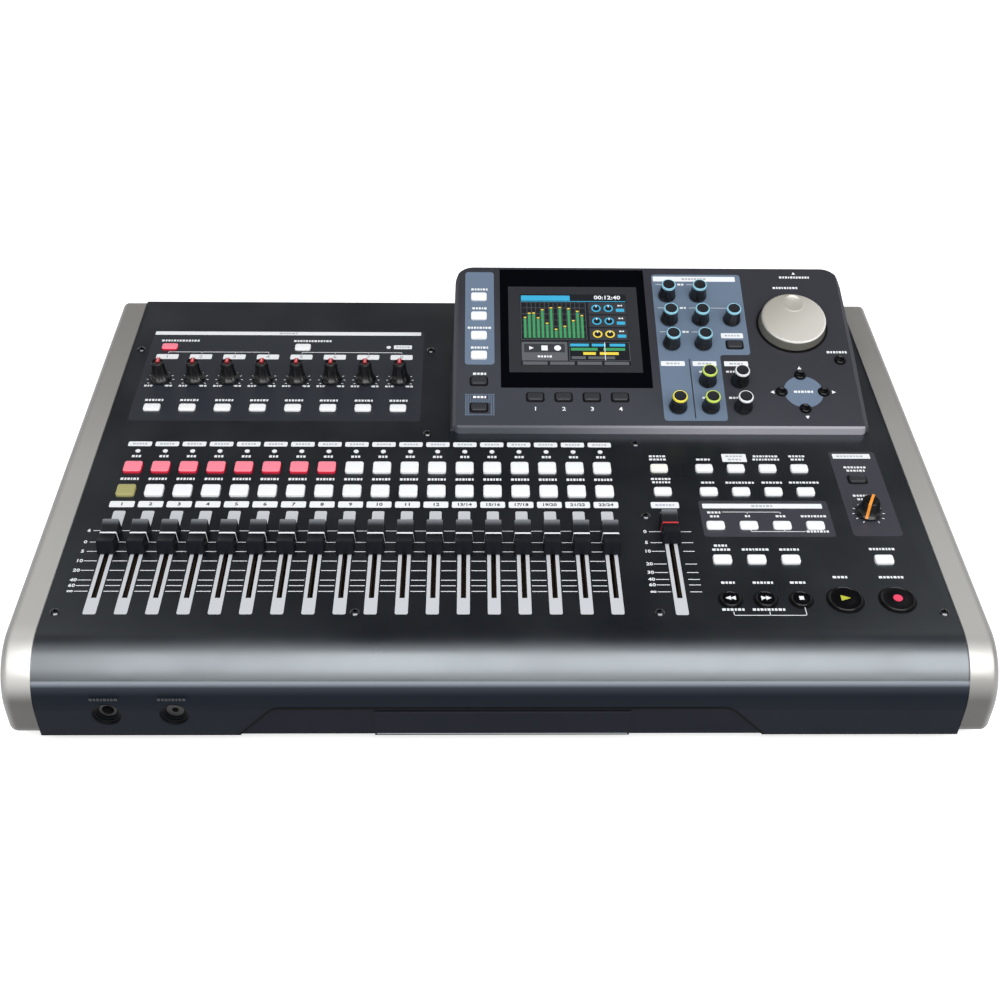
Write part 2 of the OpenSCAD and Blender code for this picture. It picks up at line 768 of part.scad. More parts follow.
module base_pan() {
    pan_front = fascia_y + fascia_t;
    color("dimgray") {
        translate([0, 0, foot_h]) linear_extrude(pan_t) box2([inner_l, pan_front], [inner_r, rear_face]);
        translate([0, 0, foot_h]) linear_extrude(pan_lip) {
            box2([inner_l, pan_front], [inner_r, pan_front + pan_t]);
            box2([inner_l, pan_front], [inner_l + pan_t, rear_inside]);
            box2([inner_r - pan_t, pan_front], [inner_r, rear_inside]);
        }
    }
}

module rubber_feet() {
    feet_x = inner_r - foot_inset;
    color(black) for (x = [-feet_x, feet_x], y = [fascia_y + foot_inset, rear_face - foot_inset])
        translate([x, y, 0]) cylinder(d = foot_d, h = foot_h);
}

module rear_panel() {
    back = rear_face + over;
    through = pan_t + 2 * over;
    color("dimgray") difference() {
        along_y(rear_inside, pan_t) box2([inner_l, pan_top], [inner_r, panel_under]);
        for (x = inputs) peg(x, back, socket_h, input_d + 2 * hole_clear, through);
        for (x = lines) peg(x, back, socket_h, barrel_d + 2 * hole_clear, through);
        for (x = pin_jacks) peg(x, back, socket_h, pin_jack_d + 2 * hole_clear, through);
        for (x = controls) peg(x, back, socket_h, control_d + 2 * hole_clear, through);
        peg(standby_x, back, socket_h, standby_d + 2 * key_clear, through);
        along_y(rear_inside - over, through) translate([inlet_x, socket_h])
            square(inlet_w + 2 * hole_clear, center = true);
    }
}

// Barrel with a blind bore whose mouth is at y and which runs inwards along -Y from the rear
module rear_barrel(x, y, d) {
    difference() {
        peg(x, y, socket_h, d, bore_l + barrel_floor);
        peg(x, y + over, socket_h, bore_d, bore_l + over);
    }
}

module input_socket(x) {
    face_t = 1.5;
    face_r = 2;
    mouth = rear_face + face_t;
    contact_r = input_d / 3;
    contact_d = 2.4;
    difference() {
        union() {
            rear_barrel(x, mouth, input_d);
            along_y(rear_face, face_t) translate([x, socket_h])
                rounded(input_w * spread_x, input_l, face_r);
        }
        peg(x, mouth + over, socket_h, bore_d, bore_l + over);
        for (a = [90, 210, 330])
            peg(x + contact_r * cos(a), mouth + over, socket_h + contact_r * sin(a), contact_d, bore_l / 2);
    }
}

module line_socket(x) {
    nut_t = 2;
    nut_d = barrel_d + 4;
    mouth = rear_face + nut_t;
    rear_barrel(x, mouth, barrel_d);
    difference() {
        peg(x, mouth, socket_h, nut_d, nut_t);
        peg(x, mouth + over, socket_h, bore_d + barrel_wall, nut_t + 2 * over);
    }
}

module pin_jack_socket(x) {
    flange_t = 1;
    flange_d = pin_jack_d + 3;
    body_l = 10;
    centre_d = 3.2;
    difference() {
        union() {
            peg(x, rear_face + pin_jack_l, socket_h, pin_jack_d, pin_jack_l + body_l);
            peg(x, rear_face + flange_t, socket_h, flange_d, flange_t);
        }
        peg(x, rear_face + pin_jack_l + over, socket_h, centre_d, body_l + over);
    }
}

module control_socket(x) {
    flange_t = 1;
    flange_d = control_d + 4;
    body_l = 12;
    pin_r = control_d / 4;
    pin_d = 1.6;
    mouth = rear_face + flange_t;
    difference() {
        union() {
            peg(x, mouth, socket_h, control_d, body_l);
            peg(x, mouth, socket_h, flange_d, flange_t);
        }
        for (a = [0 : 45 : 180])
            peg(x + pin_r * cos(a), mouth + over, socket_h + pin_r * sin(a), pin_d, body_l / 2);
    }
}

module dc_inlet() {
    depth = 12;
    proud = 0.8;
    floor_t = 2;
    pin_d = 2;
    mouth = rear_face + proud;
    difference() {
        along_y(mouth - depth, depth) translate([inlet_x, socket_h]) square(inlet_w, center = true);
        peg(inlet_x, mouth + over, socket_h, inlet_d, depth + over - floor_t);
    }
    peg(inlet_x, mouth - floor_t, socket_h, pin_d, depth - floor_t);
}

// Front jack: a barrel through the dish and a square body behind it
module front_jack(x, bore) {
    case_w = barrel_d + 3;
    rear_end = jack_mouth + bore_l + barrel_floor;
    difference() {
        union() {
            peg(x, rear_end, jack_h, barrel_d, rear_end - jack_mouth);
            along_y(jack_seat, rear_end - jack_seat) translate([x, jack_h]) square(case_w, center = true);
        }
        peg(x, jack_mouth + bore_l, jack_h, bore, bore_l + over);
    }
}

module jack_sockets() {
    color(black) {
        for (i = [0, 1]) front_jack(jacks[i], jack_bores[i]);
        for (x = inputs) input_socket(x);
        for (x = lines) line_socket(x);
        for (x = pin_jacks) pin_jack_socket(x);
        for (x = controls) control_socket(x);
        dc_inlet();
    }
}

module standby_button() {
    flange_t = 1.2;
    flange_d = standby_d + 3;
    proud = standby_press + 1.5;
    tail = 3;
    color(black) {
        peg(standby_x, rear_face + proud, socket_h, standby_d, proud + pan_t + tail);
        peg(standby_x, rear_inside - web_gap, socket_h, flange_d, flange_t);
    }
}

module panel_screws() {
    slot = 0.8;
    slot_l = 3.2;
    dome = 1.6;
    color(black) at(screw_spots, panel_h) difference() {
        union() {
            cylinder(d1 = screw_head_d, d2 = screw_head_d - dome, h = screw_head_h);
            translate([0, 0, -screw_l]) cylinder(d = screw_d, h = screw_l);
        }
        for (a = [0, 90]) rotate(a) translate([-slot_l / 2, -slot / 2, screw_head_h - slot])
            cube([slot_l, slot, slot + over]);
    }
}

module key_solid(w, l, top, bottom) {
    translate([0, 0, bottom]) linear_extrude(top - bottom) rounded(w, l, key_r);
}

// Mat sheet round a block of keys from the first to the last key
module web(first, last, w, l) {
    reach = [w / 2 + web_rim, l / 2 + web_rim];
    translate([0, 0, web_top - web_t]) linear_extrude(web_t) box2(first - reach, last + reach);
}

module channel_keys() {
    color(white) {
        union() {
            web(select_keys[0], arm_keys[strip_count - 1], strip_key_w, strip_key_l);
            at(concat(arm_keys, select_keys))
                key_solid(strip_key_w, strip_key_l, panel_h + key_rise, web_top - web_t);
        }
        union() {
            web(source_keys[0], source_keys[trim_count - 1], key_w, key_l);
            at(source_keys) key_solid(key_w, key_l, panel_h + key_rise, web_top - web_t);
        }
        for (p = supply_keys) {
            web(p, p, key_w, key_l);
            at([p]) key_solid(key_w, key_l, panel_h + key_rise, web_top - web_t);
        }
    }
}

module round_key(d, top) {
    translate([0, 0, web_top - web_t]) cylinder(d = d, h = top - web_top + web_t);
    translate([0, 0, web_top - web_t]) cylinder(d = d + 2 * web_rim, h = web_t);
}

module function_keys() {
    color(white) {
        union() {
            web([fn_col(0), fn_rows[3]], [fn_col(3), fn_rows[0]], key_w, key_l);
            web(master_keys[1], [fn_col(0), fn_rows[0]], key_w, key_l);
            at(concat(grid_keys, master_keys))
                key_solid(key_w, key_l, panel_h + key_rise, web_top - web_t);
        }
        for (p = monitor_keys) {
            web(p, p, key_w, key_l);
            at([p]) key_solid(key_w, key_l, panel_h + key_rise, web_top - web_t);
        }
        at(wind_keys) round_key(wind_d, panel_h + key_rise);
    }
}

module play_key() {
    color(black) at([big_keys[0]]) round_key(big_key_d, panel_h + key_rise);
}

module record_key() {
    color(black) at([big_keys[1]]) round_key(big_key_d, panel_h + key_rise);
}

module pod_keys() {
    low = pod_web_top - web_t;
    color(white) on_pod() {
        at(pod_keys_flat, low) {
            linear_extrude(key_rise - low) rounded(key_w, key_l, key_r);
            linear_extrude(web_t) square([key_w + 2 * web_rim, key_l + 2 * web_rim], center = true);
        }
        at(pod_keys_round, low) {
            cylinder(d = small_d, h = key_rise - low);
            cylinder(d = small_d + 2 * web_rim, h = web_t);
        }
    }
}

// Outer block of the pod, drawn in by inset on every side but the bottom
module pod_block(inset) {
    l = pod_l + inset;
    r = pod_r - inset;
    f = pod_front + inset;
    b = pod_rear - inset;
    rear_r = pod_corner - inset;
    front_r = pod_front_r - inset;
    high = pod_lip + pod_run;
    bevel = inset > 0 ? 0 : pod_side_bevel;
    bottom = inset > 0 ? panel_h - over : panel_h;
    intersection() {
        translate([0, 0, bottom]) linear_extrude(high) {
            box2([l, f + front_r], [r, b - rear_r]);
            box2([l + front_r, f], [r - front_r, f + front_r]);
            box2([l + rear_r, b - rear_r], [r - rear_r, b]);
            for (x = [l + front_r, r - front_r]) translate([x, f + front_r]) circle(front_r);
            for (x = [l + rear_r, r - rear_r]) translate([x, b - rear_r]) circle(rear_r);
        }
        // Sloping face with its side bevels
        on_pod() translate([0, -high, -inset]) rotate([-90, 0, 0]) linear_extrude(3 * high)
            polygon([[l, high], [l, bevel], [l + bevel, 0], [r - bevel, 0], [r, bevel], [r, high]]);
        // Bevel along the front edge
        on_pod() translate([pod_l - over, 0, 0]) rotate([90, 0, 90]) linear_extrude(pod_span + 2 * over)
            polygon([[pod_bevel - high, -high], [2 * high, -high], [2 * high, 0], [pod_bevel, 0]]);
    }
}

module pod_openings() {
    seat = window_clear;
    translate([window_x, window_run, -window_t]) linear_extrude(window_t + over)
        square([window_span + 2 * seat, window_l + 2 * seat], center = true);
    translate([window_x, lcd_run, -pod_wall - over]) linear_extrude(pod_wall + over)
        square([lcd_span + 2 * lcd_clear, lcd_l + 2 * lcd_clear], center = true);
    at(pod_keys_flat, -pod_wall - over) linear_extrude(pod_wall + 2 * over)
        rounded(key_w + 2 * key_clear, key_l + 2 * key_clear, key_r + key_clear);
    at(pod_keys_round, -pod_wall - over)
        cylinder(d = small_d + 2 * key_clear, h = pod_wall + 2 * over);
    at(concat(encoders, [[jog_x, jog_run]]), -pod_wall - over)
        cylinder(d = bushing_d() + 2 * bushing_clear, h = pod_wall + 2 * over);
}

module display_pod() {
    color(pod_grey) {
        difference() {
            pod_block(0);
            difference() {
                pod_block(pod_wall);
                on_pod() at(pod_bosses, -pod_board_drop) cylinder(d = boss_d, h = pod_board_drop);
            }
            on_pod() pod_openings();
        }
    }
}

module display_window() {
    color(black) on_pod() translate([window_x, window_run, -window_t]) linear_extrude(window_t)
        square([window_span, window_l], center = true);
}

module display_module() {
    color("dimgray") on_pod() translate([window_x, lcd_run, 0]) {
        translate([0, 0, -pod_wall - lcd_t]) linear_extrude(pod_wall + lcd_t - window_t - lcd_gap)
            square([lcd_span, lcd_l], center = true);
        translate([0, 0, -pod_wall - lcd_t]) linear_extrude(lcd_t)
            square([lcd_span + 2 * lcd_rim, lcd_l + 2 * lcd_rim], center = true);
    }
}

// Slide pot on the main board with a trough for its lever
module slide_pot(x, y, up, down) {
    end = lever_l / 2 + lever_room;
    wall = 3;
    trough = lever_t / 2 + lever_clear;
    top = panel_under - pot_gap;
    floor_z = panel_h - lever_drop - lever_clear;
    bottom = board_top + solder_gap;
    difference() {
        translate([0, 0, bottom]) linear_extrude(top - bottom)
            box2([x - pot_w / 2, y - down - end - wall], [x + pot_w / 2, y + up + end + wall]);
        translate([0, 0, floor_z]) linear_extrude(top - floor_z + over)
            box2([x - trough, y - down - end], [x + trough, y + up + end]);
    }
}

// Rotary body that stands on a board at z = 0, with a bushing up to z = high
module rotor(high) {
    difference() {
        union() {
            translate([-rotor_w / 2, -rotor_w / 2, solder_gap]) cube([rotor_w, rotor_w, rotor_h]);
            translate([0, 0, rotor_h]) cylinder(d = bushing_d(), h = high - rotor_h);
        }
        translate([0, 0, rotor_floor]) cylinder(d = shaft_d + 2 * shaft_clear, h = high);
    }
}

// Key switch that stands on a board at z = 0 and ends under its key at z = high
module key_switch(high) {
    base_h = 3.5;
    translate([-switch_w / 2, -switch_w / 2, solder_gap]) cube([switch_w, switch_w, base_h]);
    translate([0, 0, base_h]) cylinder(d = stem_d, h = high - base_h);
}

module main_board() {
    edge = 3;
    thread_clear = 0.2;
    translate([0, 0, board_top - board_t]) linear_extrude(board_t)
        box2([inner_l + edge, front_y + board_front_set], [inner_r - edge, rear_y - board_rear_set]);
    for (i = [0 : strip_count - 1]) slide_pot(strip_x(i), zero_y, fader_up, fader_down);
    slide_pot(master_x, master_y, 0, master_down);
    for (i = [0 : trim_count - 1]) translate([trim_x(i), trim_y, board_top]) rotor(board_drop);
    translate([monitor_x, monitor_y, board_top]) rotor(board_drop);
    at(concat(arm_keys, select_keys, source_keys, supply_keys, grid_keys, master_keys, monitor_keys,
        wind_keys, big_keys), board_top) key_switch(stem_top - board_top);
    at(screw_spots, board_top + solder_gap) difference() {
        cylinder(d = pillar_d, h = panel_under - board_top - solder_gap);
        translate([0, 0, over]) cylinder(d = screw_d + thread_clear, h = board_drop);
    }
}

module pod_board() {
    side_clear = 2.5;
    rear_clear = 1;
    front_run = 7;
    edge = pod_wall + side_clear;
    // The rear wall is upright, so the tilted board ends before the point where its lower face would meet it
    rear_run = pod_run
        - (pod_wall + rear_clear + (pod_board_drop + board_t) * sin(pod_tilt)) / cos(pod_tilt);
    middle = [(pod_l + pod_r) / 2, (front_run + rear_run) / 2];
    on_pod() translate([0, 0, -pod_board_drop]) {
        translate([0, 0, -board_t]) linear_extrude(board_t) translate(middle)
            rounded(pod_span - 2 * edge, rear_run - front_run, pod_corner - pod_wall);
        at(encoders) rotor(pod_board_drop);
        translate([jog_x, jog_run, 0]) rotor(pod_board_drop);
        at(concat(pod_keys_flat, pod_keys_round)) key_switch(pod_stem_top + pod_board_drop);
    }
}

module circuit_boards() {
    color("darkgreen") {
        main_board();
        pod_board();
    }
}

// Fader cap with a finger saddle on a metal lever; the cap's socket holds the lever
module fader(x, y) {
    crown_t = 2;
    lever_top = cap_h - saddle - crown_t;
    top_l = cap_l - 2 * cap_lean;
    saddle_r = (pow(top_l / 2, 2) + pow(saddle, 2)) / (2 * saddle);
    translate([x, y, panel_h]) {
        color(black) difference() {
            intersection() {
                along_x(-cap_w, 2 * cap_w) difference() {
                    polygon([[-cap_l / 2, cap_gap], [cap_l / 2, cap_gap], [top_l / 2, cap_h],
                        [-top_l / 2, cap_h]]);
                    translate([0, cap_h - saddle + saddle_r]) circle(saddle_r);
                }
                along_y(-cap_l, 2 * cap_l) polygon([[-cap_w / 2, cap_gap], [cap_w / 2, cap_gap],
                    [cap_top_w / 2, cap_h], [-cap_top_w / 2, cap_h]]);
            }
            translate([0, 0, lever_top / 2 + socket_fit]) cube([lever_t + 2 * socket_fit,
                lever_l + 2 * socket_fit, lever_top], center = true);
        }
        color(silver) translate([-lever_t / 2, -lever_l / 2, -lever_drop])
            cube([lever_t, lever_l, lever_drop + lever_top]);
    }
}

// Shaft from its rotor to a blind socket in a knob; drop is the depth of the board below z = 0
module shaft(drop, top) {
    foot = rotor_floor + shaft_gap - drop;
    color(silver) translate([0, 0, foot]) cylinder(d = shaft_d, h = top - foot);
}

module shaft_socket(top) {
    cylinder(d = shaft_d + 2 * socket_fit, h = top + socket_fit);
}

// Bell-shaped pointer knob
module pointer_knob(x, y) {
    wall_top = 2;
    edge = 0.5;
    taper = 0.3;
    skirt_r = knob_d / 2;
    top_r = knob_top_d / 2;
    flare = skirt_r - top_r - taper;
    waist_z = knob_gap + skirt_t + flare;
    translate([x, y, panel_h]) {
        color(black) difference() {
            rotate_extrude() difference() {
                polygon([[0, knob_gap], [skirt_r, knob_gap], [skirt_r, knob_gap + skirt_t],
                    [top_r + taper, waist_z], [top_r, knob_h - edge], [top_r - edge, knob_h], [0, knob_h]]);
                translate([skirt_r, waist_z]) circle(flare);
            }
            shaft_socket(knob_h - wall_top);
        }
        shaft(board_drop, knob_h - wall_top);
    }
}

module encoder(p) {
    wall_top = 2;
    edge = 0.8;
    foot = 1;
    ring = 2;
    base_r = enc_d / 2;
    top_r = enc_top_d / 2;
    on_pod() translate([p[0], p[1], 0]) {
        color(black) difference() {
            rotate_extrude() polygon([[0, knob_gap], [base_r, knob_gap], [base_r, knob_gap + foot],
                [top_r, enc_h - ring], [top_r, enc_h - edge], [top_r - edge, enc_h], [0, enc_h]]);
            shaft_socket(enc_h - wall_top);
        }
        shaft(pod_board_drop, enc_h - wall_top);
    }
}

module jog_dial() {
    wall_top = 2.4;
    base_r = jog_base_d / 2;
    top_r = jog_d / 2;
    rim = 2.5;
    edge = 1;
    hub_d = shaft_d + 6;
    dimple_r = (pow(dimple_d / 2, 2) + pow(dimple_depth, 2)) / (2 * dimple_depth);
    on_pod() translate([jog_x, jog_run, 0]) {
        color(silver) difference() {
            rotate_extrude() polygon([[0, knob_gap], [hub_d / 2, knob_gap], [hub_d / 2, jog_h - wall_top],
                [top_r - rim, jog_h - wall_top], [base_r - rim, knob_gap], [base_r, knob_gap],
                [top_r, jog_h - edge], [top_r - edge, jog_h], [0, jog_h]]);
            translate([0, dimple_set, jog_h - dimple_depth + dimple_r]) sphere(dimple_r);
            shaft_socket(jog_h - wall_top);
        }
        shaft(pod_board_drop, jog_h - wall_top);
    }
}

base_pan();
rear_panel();
top_panel();
front_fascia();
left_end_cheek();
right_end_cheek();
display_pod();
display_window();
display_module();
circuit_boards();
jack_sockets();
panel_screws();
rubber_feet();
channel_keys();
function_keys();
pod_keys();
play_key();
record_key();
standby_button();
for (i = [0 : strip_count - 1])
    fader(strip_x(i), zero_y);
fader(master_x, master_y);  // master_fader
for (i = [0 : trim_count - 1])
    pointer_knob(trim_x(i), trim_y);
for (i = [0 : len(encoders) - 1])
    encoder(encoders[i]);
pointer_knob(monitor_x, monitor_y);  // monitor_knob
jog_dial();
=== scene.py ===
# %% [markdown]
# # Dressing a desktop multitrack recorder
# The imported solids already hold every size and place, so this lesson only adds what an eye would miss:
# moulded edges, printed marks, lit keys and finishes. All pieces sit in the same frame as the solids.

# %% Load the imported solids
import json
import math

import bpy
import numpy as np
from mathutils import Matrix, Vector

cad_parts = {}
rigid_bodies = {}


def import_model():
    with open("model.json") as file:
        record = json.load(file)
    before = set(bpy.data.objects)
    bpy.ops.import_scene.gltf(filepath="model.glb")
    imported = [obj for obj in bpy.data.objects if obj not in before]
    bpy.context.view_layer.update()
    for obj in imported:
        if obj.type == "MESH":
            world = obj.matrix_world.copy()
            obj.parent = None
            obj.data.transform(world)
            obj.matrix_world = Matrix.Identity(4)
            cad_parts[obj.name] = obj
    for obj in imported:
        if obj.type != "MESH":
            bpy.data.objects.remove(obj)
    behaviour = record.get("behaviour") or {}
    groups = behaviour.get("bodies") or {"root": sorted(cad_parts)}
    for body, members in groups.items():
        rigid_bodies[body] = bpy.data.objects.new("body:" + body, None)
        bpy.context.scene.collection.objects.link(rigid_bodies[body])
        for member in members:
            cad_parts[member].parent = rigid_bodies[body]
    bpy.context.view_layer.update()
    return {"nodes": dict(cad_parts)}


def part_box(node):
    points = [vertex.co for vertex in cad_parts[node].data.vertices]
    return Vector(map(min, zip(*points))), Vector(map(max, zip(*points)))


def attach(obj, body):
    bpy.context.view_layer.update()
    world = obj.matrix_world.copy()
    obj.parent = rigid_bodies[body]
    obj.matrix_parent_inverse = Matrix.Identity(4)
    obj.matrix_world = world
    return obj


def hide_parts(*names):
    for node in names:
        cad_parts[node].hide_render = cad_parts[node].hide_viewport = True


for leftover in list(bpy.data.objects):
    bpy.data.objects.remove(leftover)
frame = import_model()
MM = 0.001
scene = bpy.context.scene

# %% [markdown]
# The picture was taken from in front and above with a moderate lens. A camera can be aimed with a
# constraint, but a matrix made from the three viewing angles keeps the small roll of the real shot.

# %% Camera at the photograph's viewing angle
camera_at = np.array([-0.015877, -0.647167, 0.572642])
camera_down, camera_yaw, camera_roll = np.radians([40.227, 1.494, 1.077])
ahead = np.array([math.sin(camera_yaw) * math.cos(camera_down),
                  math.cos(camera_yaw) * math.cos(camera_down), -math.sin(camera_down)])
level = np.array([math.cos(camera_yaw), -math.sin(camera_yaw), 0.0])
upward = np.cross(level, ahead)
right = math.cos(camera_roll) * level + math.sin(camera_roll) * upward
above = math.cos(camera_roll) * upward - math.sin(camera_roll) * level
lens = bpy.data.cameras.new("camera")
lens.lens, lens.sensor_width, lens.sensor_fit = 49.411, 36.0, "HORIZONTAL"
lens.clip_start, lens.clip_end = 0.01, 20.0
lens.dof.use_dof = False
camera = bpy.data.objects.new("camera", lens)
camera.matrix_world = Matrix([[*row, p] for row, p in zip(np.stack([right, above, -ahead], 1), camera_at)]
                             + [[0, 0, 0, 1]])
scene.collection.objects.link(camera)
scene.camera = camera
print("camera at", camera_at, "lens", lens.lens)

# %% [markdown]
# Finishes and the room are node trees. They are always built in the same three steps: make the nodes, set
# the inputs that nothing feeds, and link the rest. A helper for each step keeps the trees easy to read.

# %% Node helpers


def new_nodes(tree, *kinds, family="ShaderNode"):
    """One node of each kind in a family, in order."""
    return [tree.nodes.new(family + kind) for kind in kinds]


def preset(node, **values):
    """Sets the inputs that the keywords name, where _ stands for a space."""
    for name, value in values.items():
        node.inputs[name.replace("_", " ")].default_value = value


def wire(tree, *links):
    """Each link names a node, its output, the next node and that node's input."""
    for source, output, target, entry in links:
        tree.links.new(source.outputs[output], target.inputs[entry])


print("node helpers", new_nodes.__name__, preset.__name__, wire.__name__)

# %% [markdown]
# A product shot like this uses one large soft box above the front edge, which draws the bright band on
# the rolled nose, a weak one overhead, and a pale room that fills the shadows. The room is a world that
# looks white along the horizon and dark overhead to the camera and to reflections, and gives an even
# light otherwise. Two dim cards behind the corners light hardly anything, but the gloss paint reflects
# them.

# %% Room
scene.view_settings.view_transform = "Standard"
room = bpy.data.worlds.new("room")
scene.world = room
room.use_nodes = True
tree = room.node_tree
tree.nodes.clear()
coords, split, fade, path, first, both = new_nodes(
    tree, "TexCoord", "SeparateXYZ", "MapRange", "LightPath", "Math", "Math")
seen, fill, mixed, out = new_nodes(tree, "Background", "Background", "MixShader", "OutputWorld")
both.use_clamp = True
preset(fade, From_Min=0.08, From_Max=0.5, To_Min=1.0, To_Max=0.03)
preset(fill, Color=(1, 1, 1, 1), Strength=0.47)
wire(tree, (coords, "Generated", split, 0), (split, "Z", fade, "Value"), (fade, "Result", seen, "Color"),
     (path, "Is Camera Ray", first, 0), (path, "Is Glossy Ray", first, 1), (first, 0, both, 0),
     (path, "Is Transmission Ray", both, 1), (both, 0, mixed, "Fac"), (fill, 0, mixed, 1),
     (seen, 0, mixed, 2), (mixed, 0, out, "Surface"))
print("room nodes", len(tree.nodes))

# %% Soft boxes and floor


def soft_box(name, place, target, wide, high, power):
    """A rectangular lamp at place, turned so that its face looks at target."""
    lamp = bpy.data.lights.new(name, "AREA")
    lamp.shape, lamp.size, lamp.size_y, lamp.energy = "RECTANGLE", wide, high, power
    holder = bpy.data.objects.new(name, lamp)
    holder.location = place
    holder.rotation_euler = (Vector(target) - Vector(place)).to_track_quat("-Z", "Y").to_euler()
    holder.visible_camera = False
    scene.collection.objects.link(holder)
    return holder


soft_box("front_soft_box", (0.27, -0.92, 1.14), (0.27, -0.16, 0.05), 1.95, 1.1, 24.5)
soft_box("top_soft_box", (0.20, -0.30, 1.50), (0.20, -0.16, 0.05), 2.2, 0.6, 3.0)
for name, side in (("left_card", -1), ("right_card", 1)):
    soft_box(name, (0.89 * side, 0.74, 1.25), (0.23 * side, -0.10, 0.06), 0.6, 0.6, 0.43)
reach = 6.0
floor_mesh = bpy.data.meshes.new("floor")
floor_mesh.from_pydata([(-reach, -reach, 0), (reach, -reach, 0), (reach, reach, 0), (-reach, reach, 0)], [],
                       [(0, 1, 2, 3)])
floor = bpy.data.objects.new("floor", floor_mesh)
scene.collection.objects.link(floor)

# %% [markdown]
# A finish is more than a colour. Paint has a fine grain and satin patches, moulded plastic has a spark
# texture, metal has turning marks. One builder makes them all from two noises in Object coordinates: a
# fine one for specks and bump, a slow one for patches of gloss.

# %% Finish builder


def tone(r, g, b):
    """A colour written as 0..255 screen values, turned into the linear values that shaders use."""
    c = np.array([r, g, b]) / 255
    return np.where(c <= 0.04045, c / 12.92, ((c + 0.055) / 1.055) ** 2.4)


def make_finish(name, colour, rough, metal=0.0, gloss=0.5, grain=1500.0, speck=0.08, bump=0.1, patch=0.05,
                glow=0.0, ior=1.5, tint=(1.0, 1.0, 1.0)):
    """colour x (1 +- speck x fine noise), roughness = rough +- patch x slow noise, and a bump from the
    fine noise."""
    mat = bpy.data.materials.new(name)
    mat.use_nodes = True
    tree = mat.node_tree
    shader = tree.nodes["Principled BSDF"]
    where, fine, slow, blend, satin, relief = new_nodes(
        tree, "TexCoord", "TexNoise", "TexNoise", "Mix", "MapRange", "Bump")
    blend.data_type = "RGBA"
    preset(fine, Scale=grain, Detail=2.0)
    preset(slow, Scale=22.0, Detail=3.0)
    preset(blend, A=(*np.clip(colour * (1 - speck), 0, 1), 1), B=(*np.clip(colour * (1 + speck), 0, 1), 1))
    preset(satin, From_Min=0.3, From_Max=0.7, To_Min=max(rough - patch, 0.02), To_Max=min(rough + patch, 1))
    preset(relief, Strength=bump, Distance=0.0001)
    preset(shader, Metallic=metal, Specular_IOR_Level=gloss, IOR=ior, Specular_Tint=(*tint, 1))
    if glow:
        preset(shader, Emission_Color=(*colour, 1), Emission_Strength=glow)
    wire(tree, (where, "Object", fine, "Vector"), (where, "Object", slow, "Vector"),
         (fine, "Fac", blend, "Factor"), (blend, "Result", shader, "Base Color"),
         (slow, "Fac", satin, "Value"), (satin, "Result", shader, "Roughness"),
         (fine, "Fac", relief, "Height"), (relief, "Normal", shader, "Normal"))
    return mat


def graded(mat, colour, way, start, end):
    """Blends a finish into a second colour: s(way . p), a smooth step from start to end in millimetres."""
    tree = mat.node_tree
    shader = tree.nodes["Principled BSDF"]
    before = shader.inputs["Base Color"].links[0].from_node
    along, span, blend = new_nodes(tree, "VectorMath", "MapRange", "Mix")
    along.operation, span.interpolation_type, blend.data_type = "DOT_PRODUCT", "SMOOTHSTEP", "RGBA"
    along.inputs[1].default_value = way
    preset(span, From_Min=start * MM, From_Max=end * MM)
    preset(blend, B=(*colour, 1))
    wire(tree, (tree.nodes["Texture Coordinate"], "Object", along, 0), (along, "Value", span, "Value"),
         (span, "Result", blend, "Factor"), (before, "Result", blend, "A"),
         (blend, "Result", shader, "Base Color"))


def floor_paper():
    """White paper, lifted towards white for the camera alone, so that its shadows stay but turn soft."""
    mat = make_finish("floor_paper", tone(246, 246, 246), 0.9, gloss=0.1, grain=60, speck=0.004, bump=0.0)
    shader = mat.node_tree.nodes["Principled BSDF"]
    path, lift = new_nodes(mat.node_tree, "LightPath", "Math")
    lift.operation = "MULTIPLY"
    lift.inputs[1].default_value = 0.5
    preset(shader, Emission_Color=(1, 1, 1, 1))
    wire(mat.node_tree, (path, "Is Camera Ray", lift, 0), (lift, 0, shader, "Emission Strength"))
    return mat


floor_mesh.materials.append(floor_paper())
print("floor finish", floor_mesh.materials[0].name)
